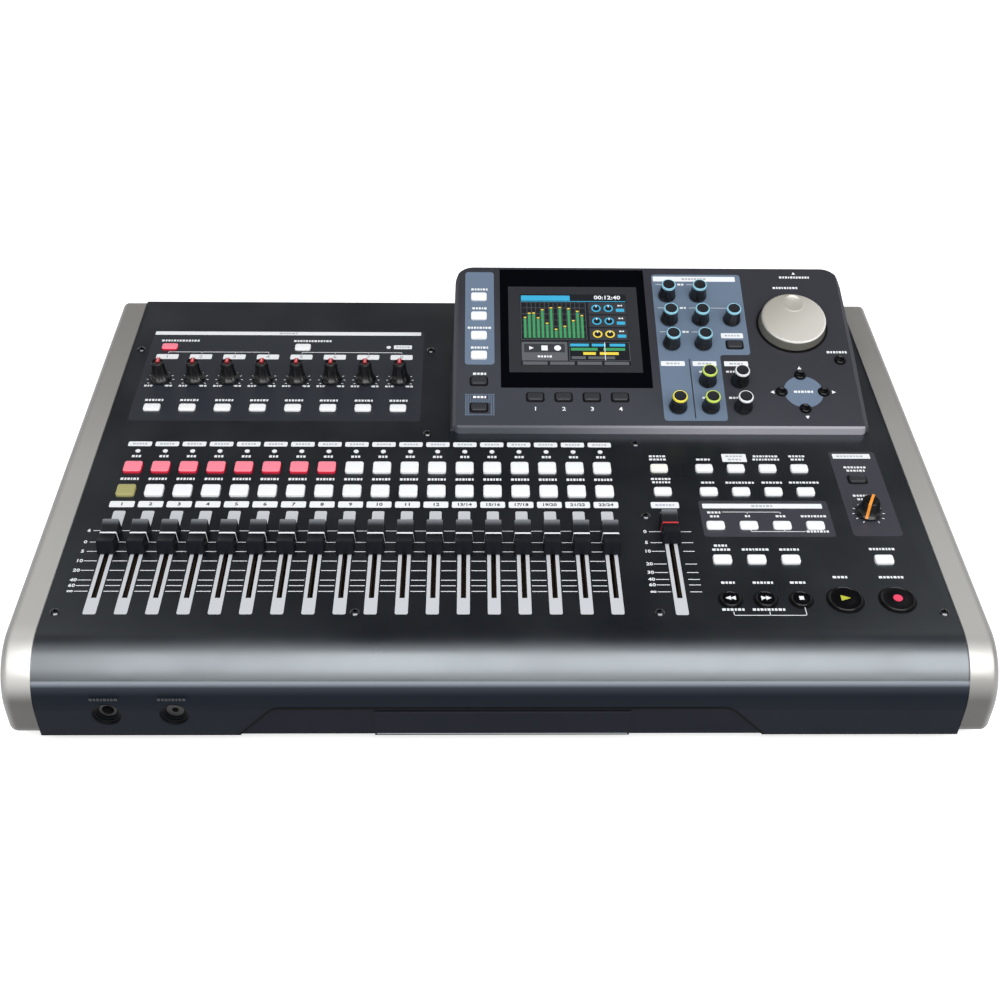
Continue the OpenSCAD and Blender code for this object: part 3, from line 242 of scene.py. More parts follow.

# %% [markdown]
# Finishes that are made the same way are a family: one set of options and a colour for each member. A
# grade carries a finish into a second colour; every grade here is painted highlight and shade, where light
# falls off along a moulding.

# %% Finish families
cool = (0.88, 0.95, 1.0)
families = (
    (dict(rough=0.32, gloss=1.0, ior=1.85, grain=2200, tint=cool), {"panel_paint": (5, 8, 17)}),
    # fascia_recess is a slightly darker, bluer copy of the fascia paint: painted shade of the sunk field.
    (dict(rough=0.5, gloss=0.12, grain=2200, bump=0.12, tint=cool),
     {"fascia_plastic": (13, 18, 27), "fascia_recess": (12, 14, 25)}),
    # The fascia's top ledge takes a light grey: a painted highlight of its rounded edge.
    (dict(rough=0.4, grain=2200), {"fascia_lip_painted_highlight": (140, 146, 152)}),
    # The cheeks share one silver in two copies whose grades paint highlight and shade; the left crest is
    # brighter.
    (dict(rough=0.34, metal=0.5, grain=3200, speck=0.1, bump=0.06),
     {"silver_left": (90, 89, 87), "silver_right": (90, 89, 87)}),
    (dict(rough=0.46, grain=2600, speck=0.1, bump=0.2),
     # The lip colour is a lighter copy of the pod plastic: a painted highlight on its front faces.
     {"pod_plastic": (57, 60, 67), "pod_lip": (80, 84, 91), "pod_side": (66, 68, 75)}),
    (dict(rough=0.07, gloss=0.2, grain=300, bump=0.0, patch=0.03), {"window_gloss": (5, 6, 10)}),
    (dict(rough=0.4, grain=2000, bump=0.05), {"display_bezel": (44, 46, 51)}),
    (dict(rough=0.5, metal=0.3, grain=900), {"pan_metal": (52, 53, 56)}),
    (dict(rough=0.5, grain=500, speck=0.3, bump=0.05), {"board_green": (46, 60, 46)}),
    (dict(rough=0.45, metal=0.3, grain=700, speck=0.2, bump=0.05), {"pot_metal": (74, 60, 50)}),
    (dict(rough=0.42, grain=1800, bump=0.15), {"socket_black": (26, 26, 28)}),
    (dict(rough=0.25, metal=1.0, bump=0.05), {"socket_nickel": (196, 194, 188)}),
    (dict(rough=0.28, metal=1.0, bump=0.05), {"socket_contact": (205, 170, 96)}),
    (dict(rough=0.3, metal=1.0, bump=0.05), {"lever_metal": (150, 148, 142)}),
    (dict(rough=0.2, metal=1.0, grain=2500, bump=0.08), {"screw_black": (112, 113, 116)}),
    (dict(rough=0.8, gloss=0.3, grain=1400, bump=0.3), {"foot_rubber": (24, 24, 24)}),
    (dict(rough=0.4, grain=1700, speck=0.02, bump=0.06), {"key_white": (232, 234, 236)}),
    (dict(rough=0.42, grain=1900, bump=0.12), {"key_dark": (47, 48, 53)}),
    (dict(rough=0.2, gloss=0.4, bump=0.03), {"key_black": (7, 7, 10)}),
    (dict(rough=0.7, grain=900), {"key_mat": (20, 20, 22)}),
    (dict(rough=0.42, grain=700, speck=0.04, bump=0.05, glow=0.06), {"key_lit_pink": (238, 128, 146)}),
    (dict(rough=0.5, grain=700, speck=0.04, bump=0.05, glow=0.12), {"key_lit_red": (206, 30, 58)}),
    (dict(rough=0.42, grain=700, speck=0.04, bump=0.05, glow=0.05), {"key_lit_olive": (158, 154, 100)}),
    (dict(rough=0.42, grain=700, speck=0.03, bump=0.05), {"key_lit_warm": (238, 238, 228)}),
    (dict(rough=0.45, gloss=0.2, grain=2200), {"cap_dark": (16, 18, 25)}),
    # The saddle greys grade into a painted reflection of the soft box on the cap's rear slope.
    (dict(rough=0.42, gloss=0.4, grain=2200), {"cap_saddle": (26, 29, 34), "master_saddle": (26, 29, 34)}),
    (dict(rough=0.27, gloss=0.6, grain=2200, bump=0.12), {"knob_dark": (11, 11, 14)}),
    (dict(rough=0.5, gloss=0.4, grain=2200, bump=0.15), {"knob_top": (30, 32, 38)}),
    # The jog's face and edge lighten towards the front right (painted highlight); its side is darker (painted
    # shade).
    (dict(rough=0.34, metal=0.4, grain=2600, speck=0.05, bump=0.04), {"jog_metal": (186, 182, 172)}),
    (dict(rough=0.28, metal=0.4, grain=2600, speck=0.05, bump=0.03), {"jog_edge": (176, 173, 164)}),
    (dict(rough=0.38, metal=0.3, grain=2600, speck=0.06, bump=0.05), {"jog_side_painted_shade": (118, 117, 110)}),
    (dict(rough=0.5, grain=2400, speck=0.03, bump=0.05),
     {"ink_white": (226, 229, 232), "ink_strip": (187, 190, 195)}),
    (dict(rough=0.5, grain=2400, speck=0.05, bump=0.05), {"ink_grey": (168, 174, 182)}),
    (dict(rough=0.5, grain=2200, speck=0.06), {"ink_blue": (99, 116, 137)}),
    (dict(rough=0.42, gloss=0.7, grain=2200, speck=0.06), {"ink_slate": (38, 42, 50)}),
    (dict(rough=0.42, gloss=0.6, grain=2200, speck=0.06), {"ink_steel": (56, 57, 65)}),
    # Besides black print, this black is painted shade in the gaps round keys and the jog dial.
    (dict(rough=0.5, gloss=0.3, grain=2200, speck=0.1, bump=0.05), {"black_ink_and_gap_shade": (9, 9, 11)}),
    # Besides dark print, this grey lifts the shaded upward faces of the fascia's plate: painted light.
    (dict(rough=0.5, grain=2200, speck=0.06, bump=0.05), {"dark_ink_and_painted_light": (40, 42, 48)}),
    # The pale edge grey in this family is a painted highlight on the fascia plate's lower edge.
    (dict(rough=0.4, grain=1800, speck=0.05, bump=0.05),
     {"mark_red": (196, 50, 54), "mark_orange": (236, 146, 48), "mark_rose": (222, 66, 98),
      "mark_olive": (178, 182, 56), "mark_lime": (196, 220, 92), "ring_blue": (142, 200, 220),
      "ring_yellow": (236, 222, 72), "edge_painted_highlight": (150, 152, 156), "edge_faint": (26, 30, 37)}),
    (dict(rough=0.4, grain=1800, speck=0.03, bump=0.05), {"ring_white": (226, 228, 230)}),
    # edge_shadow is painted shadow: the line along the fascia's sunk field and the screws' crosses.
    (dict(rough=0.6, gloss=0.1, grain=1800, speck=0.05, bump=0.05), {"edge_shadow": (3, 3, 4)}),
    (dict(rough=0.5, gloss=0.12, grain=1800, speck=0.05, bump=0.03), {"jack_gloss": (4, 5, 8)}),
    (dict(rough=0.3, grain=900, speck=0.06, bump=0.0, glow=0.3),
     {"screen_cyan": (52, 150, 186), "screen_green": (56, 132, 84), "screen_amber": (206, 184, 66),
      "screen_grey": (82, 84, 88), "screen_slate": (50, 52, 56)}),
    (dict(rough=0.3, grain=900, speck=0.1, bump=0.0, glow=0.3), {"screen_dark": (26, 29, 33)}),
    (dict(rough=0.3, grain=900, speck=0.04, bump=0.0, glow=0.3), {"screen_white": (206, 210, 214)}))
finishes = {name: make_finish(name, tone(*rgb), **options) for options, members in families
            for name, rgb in members.items()}
print(len(finishes), "finishes in", len(families), "families")

# %% Grades
along_x, along_y, along_z, painted_light_way = (1, 0, 0), (0, 1, 0), (0, 0, 1), (0.62, -0.78, 0)
grades = [
    # Painted highlight on the fascia: lighter towards its top, then a bright band along the lip.
    ("fascia_plastic", (44, 49, 57), along_z, 37.5, 43),
    ("fascia_plastic", (130, 136, 144), along_z, 42, 45),
    # The pod plastic darkens up its slope (painted shade); its lip lightens towards the right (painted
    # highlight).
    ("pod_plastic", (48, 48, 56), (0.35, 0.94, 0), 45, 140), ("pod_lip", (158, 156, 164), along_x, 0, 155),
    # Painted reflection on the fader saddles: dark grey rising to light grey towards the rear edge.
    ("cap_saddle", (122, 125, 131), along_y, -71.5, -66.0),
    ("master_saddle", (122, 125, 131), along_y, -62.3, -56.8),
    # Painted highlight on the jog dial: face and edge grade lighter towards the front right.
    ("jog_edge", (240, 238, 232), painted_light_way, 16, 58), ("jog_metal", (230, 227, 219), painted_light_way, 16, 58)]
# Painted highlight and shade on each cheek: a bright band on the rolled front, a lighter top near the front,
for cheek, crest, crown, side in (("silver_left", (238, 237, 233), (204, 203, 199), -1),
                                  # darker towards the rear and along the outer round-over.
                                  ("silver_right", (184, 183, 179), (198, 197, 193), 1)):
    grades += [(cheek, crest, along_z, 34, 52), (cheek, crown, along_y, -168, -135),
               (cheek, (160, 157, 153), along_y, -90, 185),
               (cheek, (146, 145, 146), (side, 0, 0), 252.5, 257.4)]
for name, rgb, way, start, end in grades:
    graded(finishes[name], tone(*rgb), way, start, end)
print(len(grades), "grades")

# %% [markdown]
# Every moulded piece here is a stack of loops with a skin between them, so a few array helpers are
# enough: loft skins a stack, turned spins a profile, soft_block stacks rounded rectangles, and copies
# repeats a shape by adding offsets. A shape is its points in millimetres and blocks of faces.

# %% Skins, lathes and blocks


def loft(loops, mat=0, ring=False):
    """Quad (i, j) joins points j and j+1 of loop i to loop i+1. A ring joins its last loop to its first;
    else caps close both end loops. mat is one finish index, or one for each row of quads or each quad."""
    loops = np.asarray(loops, float)
    m, n = loops.shape[:2]
    index = np.arange(m * n).reshape(m, n)
    if ring:
        index = np.concatenate([index, index[:1]])
    after = np.roll(index, -1, axis=1)
    quads = np.stack([index[:-1], after[:-1], after[1:], index[1:]], -1)
    mats = np.broadcast_to(np.reshape(mat, (-1, 1)) if np.ndim(mat) == 1 else mat, quads.shape[:2])
    blocks = [(quads[mats == k], int(k)) for k in np.unique(mats)]
    caps = [] if ring else [(index[:1, ::-1], int(mats[0, 0])), (index[-1:], int(mats[-1, 0]))]
    return loops.reshape(-1, 3), blocks + caps


def turned(profile, around=48, mat=0, flutes=0, flute=None, ring=False):
    """Loops r(z) (cos a, sin a, z) of a profile; flute[z] x (1 - cos(flutes a)) / 2 cuts grooves."""
    profile = np.asarray(profile, float)
    a = np.linspace(0, 2 * np.pi, around, endpoint=False)
    r = profile[:, :1] * np.ones_like(a)
    if flutes:
        r = r - np.asarray(flute)[:, None] * (1 - np.cos(flutes * a)) / 2
    return loft(np.stack([r * np.cos(a), r * np.sin(a), profile[:, 1:] * np.ones_like(a)], -1), mat, ring)


def rounded_loop(w, l, r, arc=3):
    """Corner k turns from 90k to 90k + 90 degrees with radius r about (+-(w/2 - r), +-(l/2 - r))."""
    a = np.radians(np.linspace(0, 90, arc + 1)[None] + 90 * np.arange(4)[:, None])
    sx, sy = np.array([[1], [-1], [-1], [1]]), np.array([[1], [1], [-1], [-1]])
    return np.stack([sx * (w / 2 - r) + r * np.cos(a), sy * (l / 2 - r) + r * np.sin(a)], -1).reshape(-1, 2)


def soft_block(w, l, r, profile, mat=0, arc=3):
    """One rounded rectangle for each (inset, height) of the profile, smaller by the inset all round."""
    return loft([np.c_[rounded_loop(w - 2 * d, l - 2 * d, max(r - d, 0.05), arc),
                       np.full(4 * (arc + 1), z)] for d, z in profile], mat)


def prism(outline, low, high, mat=0):
    """A flat outline, counter-clockwise, carried from height low to height high."""
    outline = np.asarray(outline, float)
    return loft([np.c_[outline, np.full(len(outline), z)] for z in (low, high)], mat)


print("a lathe of two loops has", len(turned([(1, 0), (1, 1)])[0]), "points")

# %% Moving, repeating and joining


def copies(shape, spots):
    """The shape at every spot: offsets are added to its points, and faces shift by the point count."""
    points, blocks = shape
    spots = np.asarray(spots, float)
    if spots.shape[1] == 2:
        spots = np.c_[spots, np.zeros(len(spots))]
    step = (np.arange(len(spots)) * len(points))[:, None, None]
    return ((points[None] + spots[:, None]).reshape(-1, 3),
            [((f[None] + step).reshape(-1, f.shape[1]), m) for f, m in blocks])


def join(*shapes):
    """Several shapes as one, with each block of faces shifted past the points before it."""
    starts = np.cumsum([0] + [len(points) for points, _ in shapes])
    return (np.concatenate([points for points, _ in shapes]),
            [(f + s, m) for (_, blocks), s in zip(shapes, starts) for f, m in blocks])


def moved(shape, x=0.0, y=0.0, z=0.0):
    """The shape with (x, y, z) added to its points."""
    return shape[0] + np.array([x, y, z]), shape[1]


def raised(z, *shapes):
    """Several shapes joined and lifted by z."""
    return moved(join(*shapes), z=z)


def mirrored(shape):
    """x becomes -x, and every face is turned round so that it still looks outwards."""
    return shape[0] * np.array([-1, 1, 1]), [(f[:, ::-1], m) for f, m in shape[1]]


def turned_about(shape, degrees):
    """The shape turned about its own upright axis."""
    c, s = math.cos(math.radians(degrees)), math.sin(math.radians(degrees))
    return shape[0] @ np.array([[c, s, 0], [-s, c, 0], [0, 0, 1]]), shape[1]


crease = math.radians(32)


def add_piece(name, shape, mats, body="chassis", replaces=()):
    """A shape as a mesh in metres, shaded smooth up to the crease angle, that rides on a body."""
    points, blocks = shape
    mesh = bpy.data.meshes.new(name)
    mesh.from_pydata((points * MM).tolist(), [], [row for f, _ in blocks for row in f.tolist()])
    for mat in mats:
        mesh.materials.append(finishes[mat])
    index = [np.full(len(f), m, np.int32) for f, m in blocks]
    mesh.polygons.foreach_set("material_index", np.concatenate(index))
    mesh.shade_smooth()
    mesh.set_sharp_from_angle(angle=crease)
    mesh.update()
    piece = bpy.data.objects.new(name, mesh)
    scene.collection.objects.link(piece)
    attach(piece, body)
    if replaces:
        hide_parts(*replaces)
    return piece


print("three copies of it have", len(copies(turned([(1, 0), (1, 1)]), np.eye(3))[0]), "points")

# %% [markdown]
# The bent top sheet, the fascia, the pod, the sockets and the sheet metal already have their true
# shapes as solids, so they stay and only get finishes. Their meshes are loose triangles, so a small
# node modifier welds them and marks sharp edges by angle, which lets the rolled nose shade smoothly.

# %% Smooth shading for the solids that stay
weld_distance, smooth_limit = 0.000002, math.radians(24)


def smooth_group():
    """Geometry nodes: merge by distance, then shade smooth except across edges steeper than the limit."""
    group = bpy.data.node_groups.new("weld_and_smooth", "GeometryNodeTree")
    for side in ("INPUT", "OUTPUT"):
        group.interface.new_socket("Geometry", in_out=side, socket_type="NodeSocketGeometry")
    start, end = new_nodes(group, "Input", "Output", family="NodeGroup")
    weld, angle, faces, edges = new_nodes(group, "MergeByDistance", "InputMeshEdgeAngle", "SetShadeSmooth",
                                          "SetShadeSmooth", family="GeometryNode")
    steep, = new_nodes(group, "Compare", family="FunctionNode")
    preset(weld, Distance=weld_distance)
    steep.operation, edges.domain = "LESS_EQUAL", "EDGE"
    steep.inputs[1].default_value = smooth_limit
    wire(group, (start, 0, weld, "Geometry"), (weld, 0, faces, "Geometry"), (faces, 0, edges, "Geometry"),
         (angle, "Unsigned Angle", steep, 0), (steep, 0, edges, "Shade Smooth"), (edges, 0, end, 0))
    return group


weld_and_smooth = smooth_group()
print("smoothing nodes", len(weld_and_smooth.nodes))

# %% Finishes for the solids that stay


def dress(node, *names):
    """Gives a solid its finishes; the first one covers it until faces are told otherwise."""
    solid = frame["nodes"][node]
    solid.data.materials.clear()
    for name in names:
        solid.data.materials.append(finishes[name])
    solid.data.polygons.foreach_set("material_index", np.zeros(len(solid.data.polygons), np.int32))
    solid.modifiers.new("smooth", "NODES").node_group = weld_and_smooth
    return solid


def face_middles(solid):
    """The middles of a solid's faces, in millimetres, and their normals, as rows of x, y and z."""
    mid = np.empty(len(solid.data.polygons) * 3)
    nor = np.empty_like(mid)
    solid.data.polygons.foreach_get("center", mid)
    solid.data.polygons.foreach_get("normal", nor)
    return mid.reshape(-1, 3).T / MM, nor.reshape(-1, 3).T


def refinish(solid, index):
    """Gives each face of a solid the finish with its index."""
    solid.data.polygons.foreach_set("material_index", index.astype(np.int32))


one_finish = {"top_panel": "panel_paint", "display_window": "window_gloss", "display_module": "display_bezel",
              "base_pan": "pan_metal", "rear_panel": "pan_metal", "standby_button": "key_black",
              "jack_sockets": "socket_black"}
for node, name in one_finish.items():
    dress(node, name)
fascia = dress("front_fascia", "fascia_plastic", "fascia_lip_painted_highlight", "fascia_recess", "dark_ink_and_painted_light")
(x, y, z), (_, out_y, out_z) = face_middles(fascia)
front_y = y.min()
# Faces of the fascia's top ledge take the light grey as a painted highlight.
painted_highlight_ledge = (z > 44.2) & (out_z > 0.7)
# The sunk field and the plate's front take the darker, bluer copy: painted shade of the recess.
sunk = (np.abs(x) < 140) & (z < 31) & (y > front_y + 0.4) & (out_y < -0.9)
plate = (np.abs(x) < 67.5) & (z < 29.2) & (y < front_y + 3)
# The plate's upward faces take a lighter grey than their shade gives: painted light.
refinish(fascia, np.select([painted_highlight_ledge, sunk | plate & (out_y < -0.9), plate & (out_z > 0.9)], [1, 2, 3], 0))
# Faces that look forward take the lip's lighter grey, a painted highlight.
pod = dress("display_pod", "pod_plastic", "pod_lip")
refinish(pod, face_middles(pod)[1][1] < -0.5)
boards = dress("circuit_boards", "board_green", "pot_metal")
_, y, z = face_middles(boards)[0]
refinish(boards, (z > 44) & (y < -20))
print("dressed", len(one_finish) + 3, "of", len(frame["nodes"]), "solids")

# %% [markdown]
# Heights and places that several steps share. The panel's height and the places of faders, panel knobs
# and large keys are read from the solids. Key rows and places on the pod's slope are given in numbers.

# %% Shared places, in millimetres


def node_box(node):
    """The lowest and highest corners of a solid."""
    low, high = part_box(node)
    return np.array(low) / MM, np.array(high) / MM


def node_middle(node):
    """The mean of a solid's lowest and highest corners."""
    low, high = node_box(node)
    return (low + high) / 2


screw_rise = 1.3
panel_z = node_box("panel_screws")[1][2] - screw_rise
inner_x = node_box("top_panel")[1][0]
fader_names = [f"channel_fader_{i}" for i in range(1, 19)]
trim_names = [f"trim_knob_{i}" for i in range(1, 9)]
strip_x = np.array([node_middle(n)[0] for n in fader_names])
trim_x = np.array([node_middle(n)[0] for n in trim_names])
trim_y = node_middle(trim_names[0])[1]
master_x = node_middle("master_fader")[0]
monitor_x, monitor_y = node_middle("monitor_knob")[:2]
play_x, transport_y = node_middle("play_key")[:2]
arm_y, select_y, locate_y, edit_y = -9.8, -31.4, -61.6, -90.0
source_y, supply_y, monitor_key_y = 49.6, 117.2, -19.8
fn_x = 122.5 + 19.05 * np.arange(4)
pod_tilt = math.radians(16)
pod_front, pod_face_z = 24.217, 63.7
tone_x, send_x, main_x = 111.4, 131.7, 152.0
tone_t, send_t = np.array([106.8, 86.3, 65.8]), np.array([35.4, 14.8])
jog_x, jog_t, cursor_t, cursor_reach = 190.9, 82.2, 27.7, 13.3
column_x, column_t, menu_t, home_t = -12.1, np.array([56.0, 72.5, 89.0, 105.5]), 35.2, 14.4
window_x, soft_t = 49.4, 22.7
soft_x = window_x + 17.63 * (np.arange(4) - 1.5)


def on_pod(shape):
    """From the pod's face (x, t up the slope, n out of it) to the frame: a turn about x by the tilt."""
    x, t, n = shape[0].T
    c, s = math.cos(pod_tilt), math.sin(pod_tilt)
    return np.stack([x, pod_front + t * c - n * s, pod_face_z + t * s + n * c], 1), shape[1]


print("panel at", round(panel_z, 2), "strips from", strip_x[0].round(2), "to", strip_x[-1].round(2))

# %% [markdown]
# The end cheeks are silver mouldings whose outer edge is rounded over. Their side view is four arcs, so
# an inset outline is the same four arcs with smaller radii, and the round-over is a stack of insets.

# %% End cheeks
cheek_w, cheek_round = 16.0, 4.0
corner_y, corner_z = np.array([165.0, 169.0, -143.0, -165.0]), np.array([17.0, 54.0, 28.0, 17.0])
corner_r = np.array([9.0, 5.0, 31.0, 9.0])


def cheek_loop(x, inset, arc=16):
    """Four arcs in Y and Z at x: corner k turns from 90k - 90 to 90k degrees, its radius less the inset."""
    a = np.radians(np.linspace(-90, 0, arc + 1)[None] + 90 * np.arange(4)[:, None])
    r = (corner_r - inset)[:, None]
    y, z = corner_y[:, None] + r * np.cos(a), corner_z[:, None] + r * np.sin(a)
    return np.stack([np.full(y.shape, x), y, z], -1).reshape(-1, 3)


turn = np.radians(np.linspace(0, 90, 9))
steps = [(0.0, 0.0)] + list(zip(cheek_w - cheek_round + cheek_round * np.sin(turn),
                                cheek_round * (1 - np.cos(turn))))
right_cheek = loft([cheek_loop(inner_x + x, d) for x, d in steps])
# Each cheek's silver carries painted highlight and shade from its grades.
for side, shape in (("right", right_cheek), ("left", mirrored(right_cheek))):
    add_piece(side + "_end_cheek_moulding", shape, ["silver_" + side],
              replaces=[side + "_end_cheek"])
print("cheeks", len(right_cheek[0]), "points each")

# %% [markdown]
# A fader cap is a block with a finger saddle, narrower at the crest, with a line inlaid across its
# middle. The section in X and Z is carried along Y while its top follows the saddle's parabola, and the
# row of quads over the middle takes the line's colour.

# %% Fader caps
cap_gap, cap_h, cap_half, cap_lean, saddle = 1.0, 10.0, 9.45, 0.8, 2.2
cap_base, cap_crest, cap_edge = 5.1, 4.6, 0.6
half_way = np.array([.062, .25, .5, .75, .88, .95, .985, 1])
along = np.r_[-half_way[::-1], half_way]
shrink = np.interp(np.abs(along), [0, .95, .985, 1], [0, 0.02, 0.25, 0.75])


def cap_section(s, inset):
    """Quarter circles at the top corners, under z = cap_h - saddle (1 - s^2); sides widen to the base."""
    top = cap_h - saddle * (1 - s ** 2) - inset
    half = cap_crest - inset
    a = np.radians(np.linspace(180, 90, 5))
    left = np.stack([-(half - cap_edge) + cap_edge * np.cos(a), top - cap_edge + cap_edge * np.sin(a)], 1)
    foot = [[cap_base - inset, cap_gap], [inset - cap_base, cap_gap]]
    x, z = np.concatenate([left, left[::-1] * [-1, 1], foot]).T
    y = s * (cap_half + cap_lean * (1 - (z - cap_gap) / (cap_h - cap_gap)))
    return np.stack([x, y, z], 1)


CAP, INLAY, LEVER, PAINTED_REFLECTION = range(4)
rows = np.full((len(along) - 1, 12), CAP)
# The rear half of the saddle's top takes the finish that carries the painted reflection.
rows[len(rows) // 2 + 1:, 1:8] = PAINTED_REFLECTION
rows[len(rows) // 2] = INLAY
fader_shape = join(loft([cap_section(s, d) for s, d in zip(along, shrink)], rows),
                   soft_block(1.2, 5.0, 0.3, [(0.0, -11.0), (0.0, 5.5)], LEVER))
for name in fader_names + ["master_fader"]:
    x, y, _ = node_middle(name)
    inlay, top = ("mark_red", "master_saddle") if name == "master_fader" else ("ink_white", "cap_saddle")
    add_piece(name + "_cap", moved(fader_shape, x, y, panel_z), ["cap_dark", inlay, "lever_metal", top],
              body=name, replaces=[name])
print("fader caps", len(fader_names) + 1)

# %% [markdown]
# The pointer knobs are bells: a skirt, a concave flare and a long neck with shallow grip flutes. A
# lathe profile gives the bell, and a cosine round the axis cuts the flutes into the neck only.

# %% Trim knobs
KNOB, MARK, STEM, TOP = range(4)


def shaft(low, mat=STEM):
    """The plain 6 mm shaft of a knob, from low to just inside it."""
    return turned([(3.0, low), (3.0, 1.5)], 24, mat)


knob_shaft = -14.0
bell = np.array([(6.4, 0.8), (6.75, 0.95), (6.8, 1.7), (6.55, 2.3), (6.1, 3.0), (5.5, 3.9), (5.02, 5.0),
                 (4.68, 6.2), (4.44, 7.6), (4.28, 9.4), (4.2, 11.5), (4.15, 13.1), (4.05, 13.6),
                 (3.8, 13.9), (3.4, 14.0), (3.1, 13.95), (2.8, 13.8), (0.3, 13.75)])
grip = np.interp(bell[:, 1], [0, 2.0, 3.9, 11.5, 13.0, 14.0], [0, 0, 0.5, 0.4, 0, 0])
grip[-6:] = 0
# The pale strip along the top of the red pointer is a painted highlight.
short_mark = join(moved(soft_block(2.3, 4.6, 0.3, [(0, 13.2), (0, 14.15), (0.12, 14.25)], MARK), 0, 1.75),
                  moved(soft_block(2.3, 0.6, 0.15, [(0, 9.0), (0, 14.05)], MARK), 0, 4.1),
                  moved(soft_block(0.5, 3.4, 0.1, [(0, 14.0), (0, 14.32)], TOP), 0, 1.9))
trim_shape = join(turned(bell, 60, KNOB, 10, grip), short_mark, shaft(knob_shaft))
for name in trim_names:
    x, y, _ = node_middle(name)
    add_piece(name + "_bell", moved(trim_shape, x, y, panel_z),
              ["knob_dark", "mark_red", "lever_metal", "ink_grey"], body=name,
              replaces=[name])
print("trim knobs", len(trim_names))

# %% [markdown]
# The monitor knob is lower and wider. Its orange pointer runs over the top and down the side, so it is a
# thin bar whose section is carried along the bell's own outline.

# %% Monitor knob
low_bell = np.array([(7.2, 0.8), (7.5, 1.0), (7.5, 1.8), (7.2, 2.2), (6.6, 2.6), (6.1, 3.6), (5.7, 5.4),
                     (5.35, 7.6), (5.1, 9.6), (4.9, 10.3), (4.5, 10.6), (4.0, 10.7), (0.3, 10.7)])
low_grip = np.interp(low_bell[:, 1], [0, 2.4, 4.0, 9.0, 10.4], [0, 0, 0.4, 0.4, 0])
mark_path = np.array([(4.7, 10.2), (4.5, 10.75), (3.9, 10.85), (-4.1, 10.85), (-4.8, 10.4), (-5.2, 9.0),
                      (-5.7, 6.0), (-6.2, 3.9), (-6.9, 2.5), (-7.5, 1.9)])
mark_out = np.array([(0.7, 0.7), (0.5, 0.8), (0, 1), (0, 1), (-0.7, 0.7), (-1, 0.1), (-1, 0.1), (-0.9, 0.4),
                     (-0.6, 0.8), (-0.5, 0.8)])
mark_half, pointer_rest = 0.8, -24
mark_low, mark_high = mark_path - 0.8 * mark_out, mark_path + 0.25 * mark_out
long_mark = loft([np.array([(-mark_half, *a), (mark_half, *a), (mark_half, *b), (-mark_half, *b)])
                  for a, b in zip(mark_low, mark_high)], MARK)
monitor_shape = join(turned(low_bell, 60, KNOB, 10, low_grip), turned_about(long_mark, pointer_rest),
                     shaft(knob_shaft))
add_piece("monitor_knob_bell", moved(monitor_shape, monitor_x, monitor_y, panel_z),
          ["knob_dark", "mark_orange", "lever_metal"], body="monitor_knob",
          replaces=["monitor_knob"])
print("monitor pointer", len(mark_path), "sections")

# %% [markdown]
# The pod's encoders are small cones with a coloured ring let into the top edge and a dark dished cap.
# The ring is the same lathe profile with its own finish on four rows.

# %% Pod encoders
cone = np.array([(5.4, 0.8), (5.7, 1.0), (5.7, 1.8), (5.5, 2.3), (5.0, 5.0), (4.72, 7.6), (4.66, 9.6),
                 (4.66, 10.0), (4.72, 10.8), (4.64, 11.5), (4.38, 12.03), (4.05, 12.2), (3.82, 12.1),
                 (3.72, 11.7), (3.2, 11.6), (0.3, 11.55)])
cone_rows = np.full(len(cone) - 1, KNOB)
cone_rows[8:12] = MARK
cone_rows[13:] = TOP
cone_flute = np.where((cone[:, 1] > 2) & (cone[:, 1] < 9.7), 0.28, 0)
cone_flute[-4:] = 0
encoder_shaft = -10.5
cone_shape = join(turned(cone, 64, cone_rows, 16, cone_flute), shaft(encoder_shaft))
tone_grid = [(0, 0), (1, 0), (0, 1), (1, 1), (2, 1), (0, 2), (1, 2)]
spots = {f"tone_encoder_{i + 1}": (tone_x + (main_x - tone_x) / 2 * column, tone_t[row], "ring_blue")
         for i, (column, row) in enumerate(tone_grid)}
spots["pan_encoder"] = (tone_x, send_t[1], "ring_yellow")
for i in range(2):
    spots[f"send_encoder_{i + 1}"] = (send_x, send_t[i], "mark_lime")
    spots[f"main_send_encoder_{i + 1}"] = (main_x, send_t[i], "ring_white")
for name, (x, t, ring) in spots.items():
    add_piece(name + "_cone", on_pod(moved(cone_shape, x, t)),
              ["knob_dark", ring, "lever_metal", "knob_top"], body=name, replaces=[name])
print("encoders", len(spots))

# %% [markdown]
# The jog dial is turned from light alloy with a finger dimple near its rim. Its top is a polar grid, and
# the dimple is a smooth hollow subtracted from the height.

# %% Jog dial
dial_top, dimple_x, dimple_t, dimple_r, dimple_deep = 8.0, 0.9, 12.4, 6.4, 1.5
dial = np.array([(21.0, 0.8), (21.8, 0.9), (21.7, 1.6), (21.2, 4.4), (20.85, 6.7), (20.6, 7.45),
                 (20.15, 7.9)] + [(r, dial_top) for r in (19.6, 19.0, *np.linspace(18.6, 0.3, 62))])
FACE, AXLE, SIDE, EDGE = range(4)
